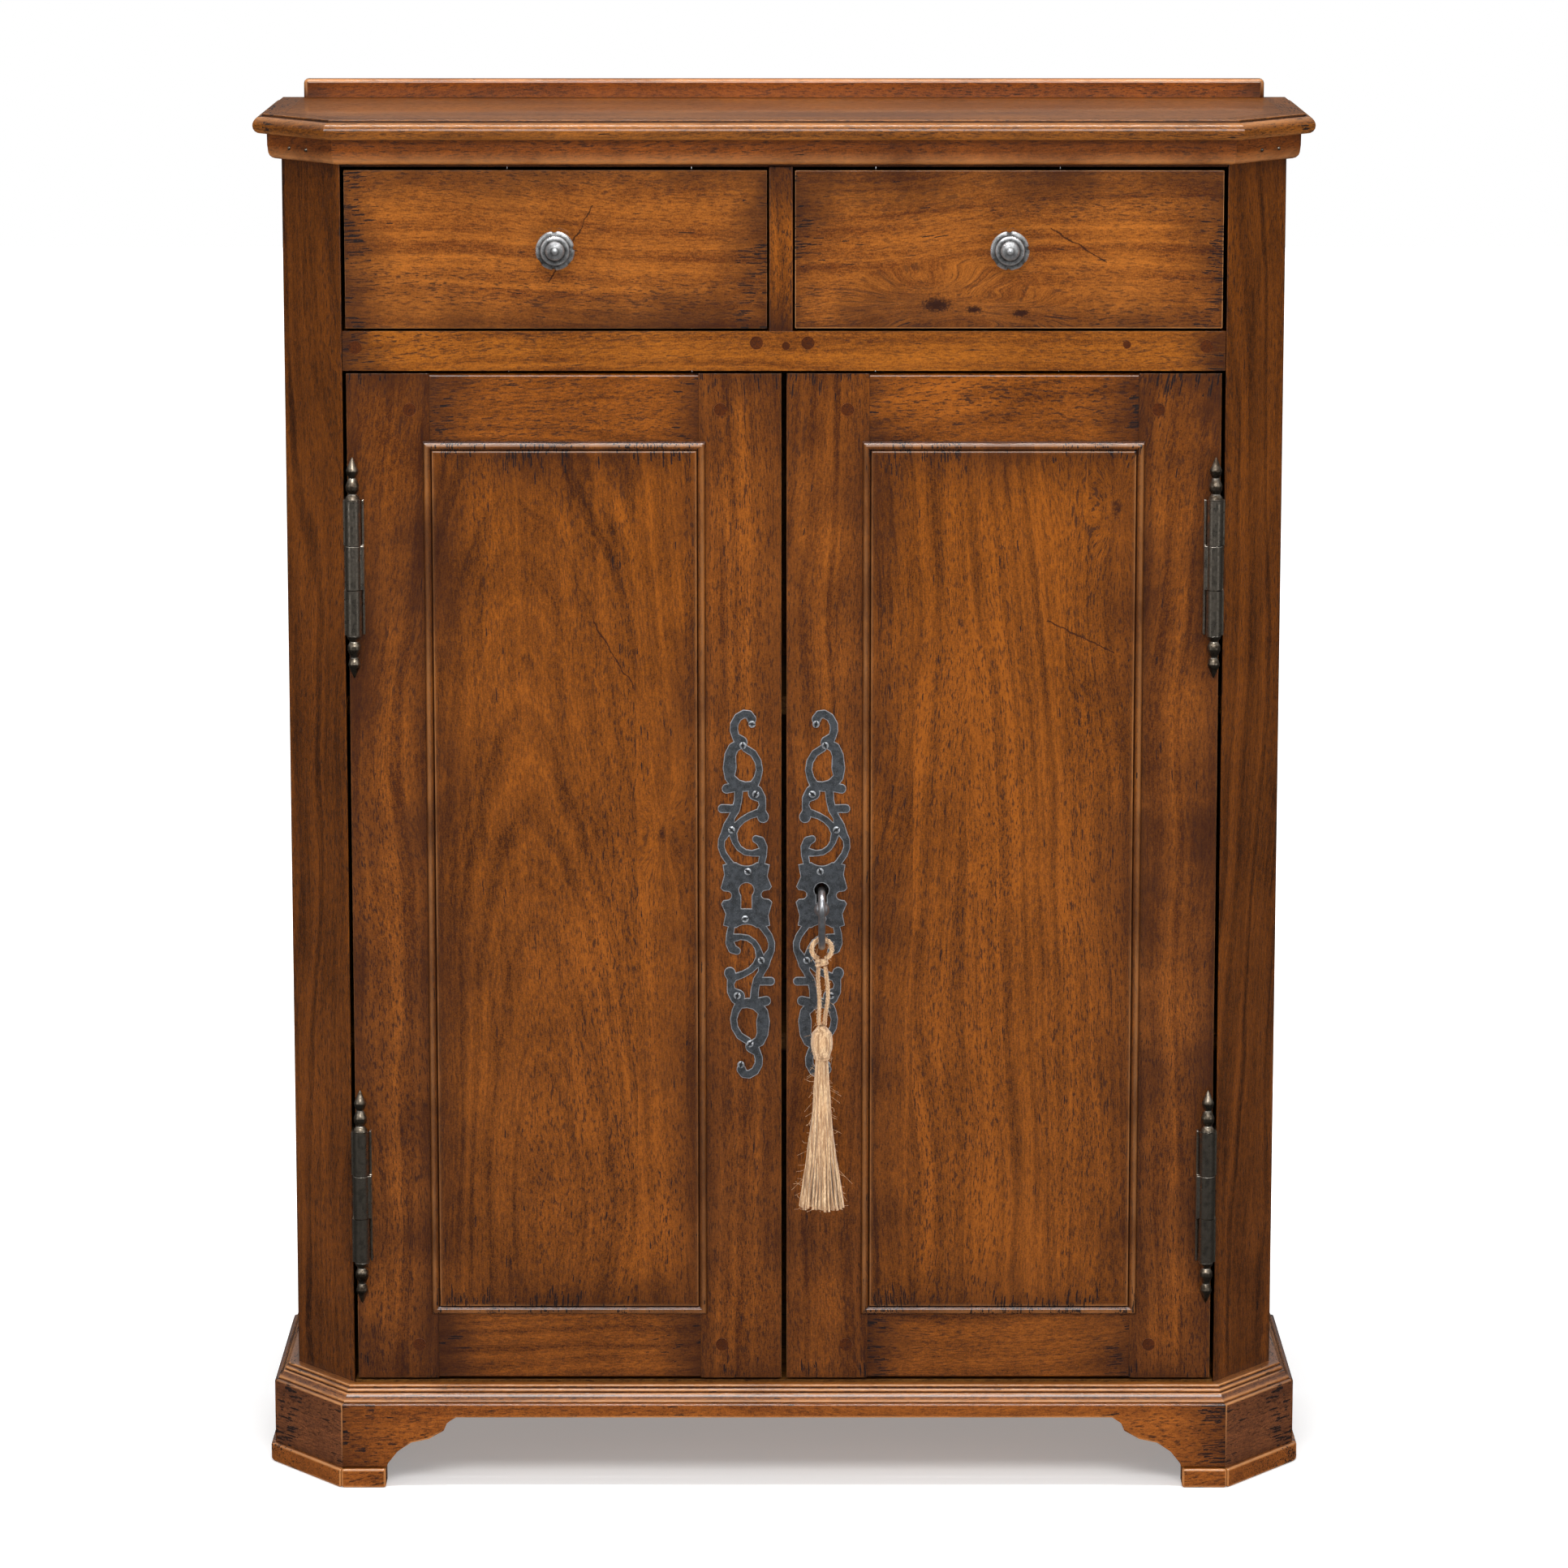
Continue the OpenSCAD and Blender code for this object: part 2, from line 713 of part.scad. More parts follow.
// A rim lock: a thin box, open towards the door, with a slot for the bolt
module lock_case() color("#4a4642") place()
    difference() {
        box([lock_x[0], door_t, lock_z[0]], [lock_x[1], lock_back, lock_z[1]]);
        box([lock_x[0] + 1.6, door_t - 1, lock_z[0] + 1.6],
            [lock_x[1] - 1.6, lock_back - 1.6, lock_z[1] - 1.6]);
        box([lock_x[0] - 1, door_t + 3.4, bolt_z[0] - 0.4],
            [lock_x[0] + 3, lock_back - 3, bolt_z[1] + 0.4]);
    }

module lock_bolt() color("#8a7a55") place()
    box([3.4, door_t + 4, bolt_z[0]], [48, lock_back - 3.6, bolt_z[1]]);

// A staple on the left door takes the bolt when it is thrown
module bolt_keeper() color("#4a4642") place()
    difference() {
        box([-22, door_t, bolt_z[0] - 5], [-4, lock_back, bolt_z[1] + 5]);
        box([-19, door_t + 2, bolt_z[0] - 2], [-3, lock_back - 2, bolt_z[1] + 2]);
    }

// Two barrel bolts hold the left door to the bottom board and behind the mid rail
module barrel_bolt(z0, stud_z) {
    translate([bolt_x, bolt_y, z0])
        cylinder(r = bolt_r, h = bolt_len);
    translate([bolt_x, bolt_y, stud_z])
        rotate([-90, 0, 0])
            cylinder(r = 3, h = 12);
}

module upper_bolt() color("#8a7a55") place()
    barrel_bolt(door_hi - 1 - bolt_len, door_hi - 52);

module lower_bolt() color("#8a7a55") place()
    barrel_bolt(door_lo + 1, door_lo + 52);

module bolt_plate(z0) {
    difference() {
        union() {
            box([bolt_x - 13, door_t, z0], [bolt_x + 13, door_t + 1.6, z0 + 84]);
            for (z = [z0 + 6, z0 + 68])
                box([bolt_x - 8, door_t, z], [bolt_x + 8, bolt_y + bolt_r + 2.5, z + 10]);
        }
        translate([bolt_x, bolt_y, z0 - 1])
            cylinder(r = bolt_r + 0.08, h = 90);
    }
}

module bolt_plates() color("#4a4642") place() {
    bolt_plate(door_hi - 88);
    bolt_plate(door_lo + 4);
}

// ---- Key and tassel ----

// The shank lies along local -Y, and the whole key droops about a point inside the door
module key() color("#77787a") place()
    translate([escutcheon_x, key_pivot_y, keyhole_z])
        rotate([key_droop, 0, 0]) {
            rotate([90, 0, 0]) {
                translate([0, 0, -21])
                    cylinder(r = 3.1, h = 21 + bow_s - bow_r + 0.5);
                translate([0, 0, bow_s - bow_r - wire_r - 9])
                    cylinder(r = 5.6, h = 3);
                translate([0, 0, bow_s - bow_r - wire_r - 3])
                    sphere(r = 6.6);
            }
            box([-1.4, 11.5, -13.5], [1.4, 19.5, 0]);
            translate([0, -bow_s, 0])
                bow();
        }

// A long oval ring standing across the end of the shank
module bow() {
    for (a = [0, 180])
        rotate([a, 0, 0])
            translate([0, 0, bow_half])
                rotate([0, -90, 0])
                    rotate([0, 0, -90])
                        rotate_extrude(angle = 180)
                            translate([bow_r, 0])
                                circle(r = wire_r);
    for (s = [-1, 1])
        translate([0, s * bow_r, -bow_half])
            cylinder(r = wire_r, h = 2 * bow_half);
}

module cord_loop() color("#c49a6c") place()
    translate([escutcheon_x, hang_y, loop_z])
        rotate([90, 0, 0])
            rotate_extrude()
                translate([loop_r, 0])
                    circle(r = cord_r, $fn = 16);

// A tube of eight sides swept down a route
function ring_at(p) = [for (i = [0 : 7]) [p[0] + 2 * cos(45 * i), p[1] + 2 * sin(45 * i), p[2]]];

module cord(route) {
    count = len(route);
    polyhedron(
        points = [for (p = route) each ring_at(p)],
        faces = concat(
            [[for (i = [0 : 7]) i]],
            [for (r = [0 : count - 2]) for (i = [0 : 7])
                [8 * r + i, 8 * r + 8 + i, 8 * r + 8 + (i + 1) % 8, 8 * r + (i + 1) % 8]],
            [[for (i = [7 : -1 : 0]) 8 * (count - 1) + i]]
        )
    );
}

module cord_left() color("#c49a6c") place()
    cord(left_route);

module cord_right() color("#c49a6c") place()
    cord(right_route);

module tassel() color("#d2ab7e") place()
    translate([escutcheon_x, -48, 0])
        rotate_extrude()
            polygon([[0, 260], [19.5, 260], [20.5, 264], [17.5, 300], [13, 340], [10, 370],
                [7.5, 392], [6.4, 395], [8.6, 400], [9.6, 408], [9, 417], [7.2, 423], [0, 423]]);

top_slab();
gallery_rail();
cornice();
top_rail();
corner_post_left();
corner_post_right();
side_panel_left();
side_panel_right();
back_boards();
bottom_board();
shelf_upper();
shelf_lower();
shelf_cleats();
mid_rail();
drawer_divider();
drawer_runners();
carcass_pegs();
base_front();
base_cants();
base_sides();
base_back();
base_moulding();
foot_pads();
hinge_frame_leaves();
hinge_pins();
left_drawer_front();
left_drawer_sides();
left_drawer_back();
left_drawer_bottom();
left_drawer_knob();
right_drawer_front();
right_drawer_sides();
right_drawer_back();
right_drawer_bottom();
right_drawer_knob();
left_door_hinge_stile();
left_door_meeting_stile();
left_door_rails();
left_door_panel();
left_door_pegs();
left_hinge_leaves();
left_escutcheon();
right_door_hinge_stile();
right_door_meeting_stile();
right_door_rails();
right_door_panel();
right_door_pegs();
right_hinge_leaves();
right_escutcheon();
lock_case();
lock_bolt();
bolt_keeper();
upper_bolt();
lower_bolt();
bolt_plates();
key();
cord_loop();
cord_left();
cord_right();
tassel();
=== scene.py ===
import math
import random

import bmesh
import bpy
from mathutils import Matrix, Vector


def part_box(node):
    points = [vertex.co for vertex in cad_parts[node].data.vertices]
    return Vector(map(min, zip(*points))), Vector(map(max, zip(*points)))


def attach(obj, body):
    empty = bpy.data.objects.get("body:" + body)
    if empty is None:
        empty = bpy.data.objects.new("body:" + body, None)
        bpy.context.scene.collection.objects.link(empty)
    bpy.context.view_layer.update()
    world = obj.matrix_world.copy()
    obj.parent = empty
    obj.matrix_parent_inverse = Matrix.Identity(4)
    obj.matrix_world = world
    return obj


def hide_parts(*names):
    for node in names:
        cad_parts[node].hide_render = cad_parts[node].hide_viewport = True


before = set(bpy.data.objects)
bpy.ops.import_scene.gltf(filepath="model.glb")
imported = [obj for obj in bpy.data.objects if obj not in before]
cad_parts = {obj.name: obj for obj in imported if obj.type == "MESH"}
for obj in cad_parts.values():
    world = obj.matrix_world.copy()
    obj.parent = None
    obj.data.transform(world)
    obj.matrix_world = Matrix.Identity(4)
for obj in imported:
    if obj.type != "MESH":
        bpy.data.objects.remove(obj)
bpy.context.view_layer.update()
scene = bpy.context.scene

# ---- Camera ----
# A long lens a little above the cabinet, looking down on it by ten degrees.
camera = bpy.data.objects.new("camera", bpy.data.cameras.new("camera"))
camera.data.lens = 139.75
camera.data.sensor_width = 36
camera.data.clip_end = 50
camera.location = (0, -5.3044, 1.5614)
camera.rotation_euler = (math.radians(79.807), 0, 0)
scene.collection.objects.link(camera)
scene.camera = camera
scene.view_settings.view_transform = "Standard"

# ---- Tassel of the key ----
# Jute: a plied cord goes round the bow of the key as a loop, and its two ends run down to a
# tassel, whose yarns are folded over, bound with a thread and cut off straight.
front_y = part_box("corner_post_left")[0].y
tassel_x = (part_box("tassel")[0].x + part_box("tassel")[1].x) / 2
tassel_y = (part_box("tassel")[0].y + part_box("tassel")[1].y) / 2
tassel_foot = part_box("tassel")[0].z
tassel_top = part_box("tassel")[1].z
loop_low, loop_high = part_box("cord_loop")
loop_middle = (loop_low + loop_high) / 2
loop_cord = (loop_high.y - loop_low.y) / 2
loop_radius = (loop_high.z - loop_low.z) / 2 - loop_cord
hanging_cord = 0.002


def put(tree, kind, wires=(), **settings):
    """A shader node with its settings made and its inputs wired or set."""
    node = tree.nodes.new("ShaderNode" + kind)
    for name, value in settings.items():
        setattr(node, name, value)
    for socket, value in dict(wires).items():
        if isinstance(value, bpy.types.NodeSocket):
            tree.links.new(value, node.inputs[socket])
        else:
            node.inputs[socket].default_value = value
    return node


def calc(tree, operation, *values, clamp=False):
    """The result of one arithmetic node."""
    node = put(tree, "Math", enumerate(values), operation=operation, use_clamp=clamp)
    return node.outputs[0]


def spread(tree, value, low, high, to_low=0.0, to_high=1.0):
    """The value drawn out from low..high to to_low..to_high, with soft ends."""
    wires = {"Value": value, "From Min": low, "From Max": high,
             "To Min": to_low, "To Max": to_high}
    return put(tree, "MapRange", wires, interpolation_type="SMOOTHSTEP").outputs[0]


def grain_noise(tree, vector, scale, detail=3.0, roughness=0.55, output="Fac"):
    """Noise drawn out by a different scale along each axis."""
    stretched = put(tree, "VectorMath", {0: vector, 1: scale}, operation="MULTIPLY")
    wires = {"Vector": stretched.outputs[0], "Scale": 1.0, "Detail": detail,
             "Roughness": roughness}
    return put(tree, "TexNoise", wires).outputs[output]


def blend_colour(tree, factor, a, b, blend_type="MIX"):
    """Colour a turned into colour b by the factor."""
    node = tree.nodes.new("ShaderNodeMix")
    node.data_type = "RGBA"
    node.blend_type = blend_type
    for socket, value in ((node.inputs[0], factor), (node.inputs[6], a), (node.inputs[7], b)):
        if isinstance(value, bpy.types.NodeSocket):
            tree.links.new(value, socket)
        else:
            socket.default_value = value
    return node.outputs[2]


def material(name, **constants):
    """A new material with its Principled shader, whose plain values are set here."""
    made = bpy.data.materials.new(name)
    made.use_nodes = True
    shader = made.node_tree.nodes["Principled BSDF"]
    for socket, value in constants.items():
        shader.inputs[socket.replace("_", " ")].default_value = value
    return made, made.node_tree, shader


def rgb(red, green, blue):
    """A colour from its 0 to 255 values, as a painter would mix it on screen."""
    return tuple((c / 255 / 12.92) if c < 10.4 else ((c / 255 + 0.055) / 1.055) ** 2.4
                 for c in (red, green, blue)) + (1.0,)


def jute_finish():
    made, tree, shader = material("jute", Roughness=0.85, Sheen_Weight=0.35,
                                  Sheen_Roughness=0.6, Specular_IOR_Level=0.2)
    place = put(tree, "TexCoord").outputs["Object"]
    fibres = grain_noise(tree, place, (2600, 2600, 260), 5, 0.65)
    tufts = grain_noise(tree, place, (160, 160, 90), 3)
    tone = blend_colour(tree, spread(tree, fibres, 0.33, 0.68),
                        rgb(152, 110, 72), rgb(244, 212, 168))
    tone = blend_colour(tree, spread(tree, tufts, 0.35, 0.7, 0.0, 0.45), tone,
                        rgb(196, 150, 104))
    runs = grain_noise(tree, place, (560, 560, 9), 2)
    tone = blend_colour(tree, spread(tree, runs, 0.40, 0.64, 0.0, 0.8), tone,
                        rgb(138, 98, 60))
    tree.links.new(tone, shader.inputs["Base Color"])
    bump = put(tree, "Bump", {"Height": fibres, "Strength": 0.7, "Distance": 0.0004})
    tree.links.new(bump.outputs[0], shader.inputs["Normal"])
    return made


jute = jute_finish()


def yarns(name, strands, sides=3):
    """One mesh of round strands; each strand is a list of (point, radius)."""
    curve = bpy.data.curves.new(name, "CURVE")
    curve.dimensions = "3D"
    curve.bevel_depth = 1.0
    curve.bevel_resolution = sides - 2
    curve.use_fill_caps = True
    for strand in strands:
        spline = curve.splines.new("POLY")
        spline.points.add(len(strand) - 1)
        for point, (where, radius) in zip(spline.points, strand):
            point.co = (*where, 1.0)
            point.radius = radius
    holder = bpy.data.objects.new(name + "_line", curve)
    scene.collection.objects.link(holder)
    bpy.context.view_layer.update()
    mesh = bpy.data.meshes.new_from_object(holder.evaluated_get(
        bpy.context.evaluated_depsgraph_get()))
    bpy.data.objects.remove(holder)
    bpy.data.curves.remove(curve)
    mesh.name = name
    mesh.shade_smooth()
    mesh.materials.clear()
    mesh.materials.append(jute)
    piece = bpy.data.objects.new(name, mesh)
    scene.collection.objects.link(piece)
    return piece


def smooth_line(points, steps):
    """Points along a smooth line through the given ones."""
    ends = [2 * points[0] - points[1]] + points + [2 * points[-1] - points[-2]]
    line = []
    for a, b, c, d in zip(ends, ends[1:], ends[2:], ends[3:]):
        for i in range(steps):
            t = i / steps
            line.append(0.5 * (2 * b + (c - a) * t + (2 * a - 5 * b + 4 * c - d) * t * t
                               + (3 * b - a - 3 * c + d) * t * t * t))
    return line + [points[-1]]


def plied(line, radius, pitch, turn=0.0, plies=3):
    """The strands of a cord laid up from plies that wind round a line."""
    strands = [[] for _ in range(plies)]
    gone = 0.0
    for i, here in enumerate(line):
        ahead = line[min(i + 1, len(line) - 1)] - line[max(i - 1, 0)]
        side = ahead.cross(Vector((0, 1, 0)))
        if side.length < 1e-9:
            side = ahead.cross(Vector((1, 0, 0)))
        side.normalize()
        up = side.cross(ahead).normalized()
        if i:
            gone += (here - line[i - 1]).length
        for k, strand in enumerate(strands):
            angle = turn + 2 * math.pi * (gone / pitch + k / plies)
            offset = (side * math.cos(angle) + up * math.sin(angle)) * radius * 0.5
            strand.append((here + offset, radius * 0.54))
    return strands


def loose_hairs(line, count, reach, seed):
    """Fine fibres that stand away from a cord."""
    draw = random.Random(seed)
    hairs = []
    for _ in range(count):
        start = draw.choice(line)
        way = Vector((draw.uniform(-1, 1), draw.uniform(-1, 0.4), draw.uniform(-1, 1)))
        way.normalize()
        curl = Vector((draw.uniform(-1, 1), draw.uniform(-0.5, 0.5), draw.uniform(-1, 1)))
        length = draw.uniform(0.4, 1.0) * reach
        hairs.append([(start + way * length * t + curl * length * 0.35 * t * t, 0.00012)
                      for t in (0.0, 0.25, 0.5, 0.75, 1.0)])
    return hairs


def hang_cord(name, route, diameter, turn, seed):
    line = smooth_line(route, 6)
    cord = yarns(name, plied(line, diameter / 2, 0.009, turn))
    hairs = yarns(name + "_hairs", loose_hairs(line, 34, 0.007, seed))
    return cord, hairs, line


# The loop starts and ends in the knot at its foot.
knot_gap = math.radians(20)
loop_route = [
    loop_middle + Vector((math.sin(a), 0, -math.cos(a))) * loop_radius
    for a in (knot_gap + i * (2 * math.pi - 2 * knot_gap) / 24 for i in range(25))
]
cord_loop, loop_hairs, loop_line = hang_cord("cord_loop_jute", loop_route, 2 * loop_cord, 0.6, 3)
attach(cord_loop, "cord_loop")
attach(loop_hairs, "cord_loop")
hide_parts("cord_loop")

left_route = [Vector((x, y + front_y * 1000, z)) / 1000 for x, y, z in (
    (29.9, -48, 475), (29.4, -48.2, 466), (29.8, -48.8, 457), (30.6, -49, 448),
    (30.6, -48.5, 439), (30.2, -48, 430), (30.2, -48, 423))]
right_route = [Vector((x, y + front_y * 1000, z)) / 1000 for x, y, z in (
    (35.5, -48, 475), (36.8, -47.8, 466), (37.8, -47.3, 457), (38, -47.2, 448),
    (37, -47.6, 439), (35.6, -48, 430), (35.2, -48, 423))]
cord_left, left_hairs, left_line = hang_cord("cord_left_jute", left_route, 2 * hanging_cord, 0.0, 5)
cord_right, right_hairs, right_line = hang_cord("cord_right_jute", right_route, 2 * hanging_cord, 1.9, 7)
for side, piece, hairs in (("left", cord_left, left_hairs), ("right", cord_right, right_hairs)):
    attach(piece, "tassel")
    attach(hairs, "tassel")
    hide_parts("cord_" + side)

# The knot under the loop: two turns of the same cord drawn tight.
knot_middle = loop_middle - Vector((0, 0, loop_radius + 0.0006))
knot_turns = []
for k in range(2):
    turn = [knot_middle + Vector((0.0042 * math.cos(a), -0.0030 * math.sin(a) - 0.0004,
                                  -0.0016 - 0.0022 * k + 0.0012 * math.sin(a + k)))
            for a in (2 * math.pi * i / 14 for i in range(15))]
    knot_turns += plied(smooth_line(turn, 3), 0.0018, 0.008, k * 1.3)
knot = yarns("cord_knot", knot_turns)
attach(knot, "cord_loop")

# The tassel's yarns: head_yarns are folded over at the top, skirt_yarns hang to the cut end.
binding_z = tassel_foot + 0.135
head_z = tassel_foot + 0.150
skirt_radius = 0.0192
yarn_radius = 0.00105
draw = random.Random(11)
skirt_yarns = []
for i in range(96):
    share = draw.uniform(0.88, 1.0) if i < 36 else 0.85 * math.sqrt((i - 35.5) / 60)
    angle = i * 2.39996 + draw.uniform(-0.08, 0.08)
    at_foot = Vector((share * skirt_radius * math.cos(angle),
                      share * skirt_radius * 0.9 * math.sin(angle), 0))
    at_neck = at_foot * (0.0047 / skirt_radius)
    sway = draw.uniform(0, 6.3)
    foot_z = tassel_foot + draw.uniform(0.0, 0.0035)
    strand = []
    for step in range(19):
        t = step / 18
        opening = t ** 1.6
        here = at_neck.lerp(at_foot, min(opening, 1.0))
        wave = 0.00045 * math.sin(sway + 9 * t) * min(1, 3 * t)
        z = binding_z + 0.001 + (foot_z - binding_z - 0.001) * t
        strand.append((Vector((tassel_x + here.x + wave, tassel_y + here.y - wave * 0.5, z)),
                       yarn_radius * (1.0 - 0.12 * math.sin(40 * t + sway))))
    skirt_yarns.append(strand)
head_yarns = []
for i in range(44):
    angle = i * 2 * math.pi / 44 + draw.uniform(-0.03, 0.03)
    around = Vector((math.cos(angle), math.sin(angle), 0))
    strand = []
    for t in (0.0, 0.12, 0.28, 0.45, 0.62, 0.78, 0.9, 1.0):
        width = 0.0048 + 0.0038 * math.sin(math.pi * min(1.0, t * 1.02)) ** 0.7
        width *= 1.0 if t < 0.9 else 0.72
        if t == 1.0:
            width = 0.0026
        z = binding_z - 0.001 + (tassel_top - binding_z) * t
        strand.append((Vector((tassel_x, tassel_y, z)) + around * width
                       + Vector((draw.uniform(-1, 1), draw.uniform(-1, 1), 0)) * 0.00015,
                       yarn_radius))
    head_yarns.append(strand)
frayed = []
for _ in range(170):
    z = draw.uniform(tassel_foot, tassel_top)
    open_share = max(0.0, (binding_z - z) / (binding_z - tassel_foot))
    reach = 0.0065 + (skirt_radius - 0.0065) * open_share ** 1.5
    angle = draw.uniform(0, 2 * math.pi)
    start = Vector((tassel_x + reach * 0.9 * math.cos(angle),
                    tassel_y + reach * 0.8 * math.sin(angle), z))
    way = Vector((math.cos(angle), 0.6 * math.sin(angle), draw.uniform(-1.2, 0.3)))
    curl = Vector((draw.uniform(-1, 1), draw.uniform(-0.4, 0.4), draw.uniform(-1, 1)))
    length = draw.uniform(0.002, 0.0095)
    frayed.append([(start + way * length * t + curl * length * 0.8 * t * t, 0.00012)
                   for t in (0.0, 0.3, 0.6, 1.0)])
for strand in frayed:
    for i, (where, radius) in enumerate(strand):
        strand[i] = (Vector((where.x, where.y, max(where.z, tassel_foot + 0.0001))), radius)
tassel = yarns("tassel_yarns", skirt_yarns + head_yarns + frayed)
core = bmesh.new()
bmesh.ops.create_cone(core, cap_ends=True, segments=24, radius1=skirt_radius * 0.58,
                      radius2=0.0045, depth=binding_z - tassel_foot - 0.004,
                      matrix=Matrix.Translation((tassel_x, tassel_y,
                                                 (binding_z + tassel_foot) / 2 + 0.001)))
bmesh.ops.create_uvsphere(core, u_segments=20, v_segments=12, radius=1.0,
                          matrix=Matrix.Translation((tassel_x, tassel_y, binding_z + 0.0135))
                          @ Matrix.Diagonal((0.0070, 0.0070, 0.0130, 1.0)))
tassel_core = bpy.data.objects.new("tassel_core", bpy.data.meshes.new("tassel_core"))
core.to_mesh(tassel_core.data)
core.free()
tassel_core.data.materials.append(jute)
scene.collection.objects.link(tassel_core)
wraps = []
for k in range(3):
    ring = [Vector((tassel_x + 0.0063 * math.cos(a), tassel_y + 0.0063 * math.sin(a),
                    binding_z - 0.0008 + 0.0011 * k + 0.0006 * math.sin(a + 2 * k)))
            for a in (2 * math.pi * i / 20 for i in range(21))]
    wraps += plied(smooth_line(ring, 3), 0.0010, 0.004, k)
binding = yarns("tassel_binding", wraps)
for piece in (tassel, tassel_core, binding):
    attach(piece, "tassel")
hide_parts("tassel")


# ---- Carcass boards ----
# Walnut boards, stained brown, rubbed dark towards their edges, knocked and inked to look old,
# and varnished to a satin shine. Each board is planed square, with its outer arrises eased.
half_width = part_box("corner_post_right")[1].x
post_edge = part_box("corner_post_right")[0].x
cant_depth = 0.069
back_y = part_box("top_slab")[1].y
cant_width = half_width - post_edge
cant_length = math.hypot(cant_width, cant_depth)
cant_grain = Vector((cant_width, cant_depth, 0))
far = 2.0


def inset_distance_group():
    """How far a point is inside a box, measured to the nearest side."""
    tree = bpy.data.node_groups.new("Distance Inside", "ShaderNodeTree")
    for name in ("Position", "Low", "High"):
        tree.interface.new_socket(name, in_out="INPUT", socket_type="NodeSocketVector")
    tree.interface.new_socket("Distance", in_out="OUTPUT", socket_type="NodeSocketFloat")
    given = tree.nodes.new("NodeGroupInput").outputs
    above = put(tree, "VectorMath", {0: given["Position"], 1: given["Low"]},
                operation="SUBTRACT").outputs[0]
    below = put(tree, "VectorMath", {0: given["High"], 1: given["Position"]},
                operation="SUBTRACT").outputs[0]
    least = put(tree, "VectorMath", {0: above, 1: below}, operation="MINIMUM").outputs[0]
    parts = put(tree, "SeparateXYZ", {0: least}).outputs
    nearest = calc(tree, "MINIMUM", calc(tree, "MINIMUM", parts[0], parts[1]), parts[2])
    result = tree.nodes.new("NodeGroupOutput")
    tree.links.new(nearest, result.inputs["Distance"])
    return tree


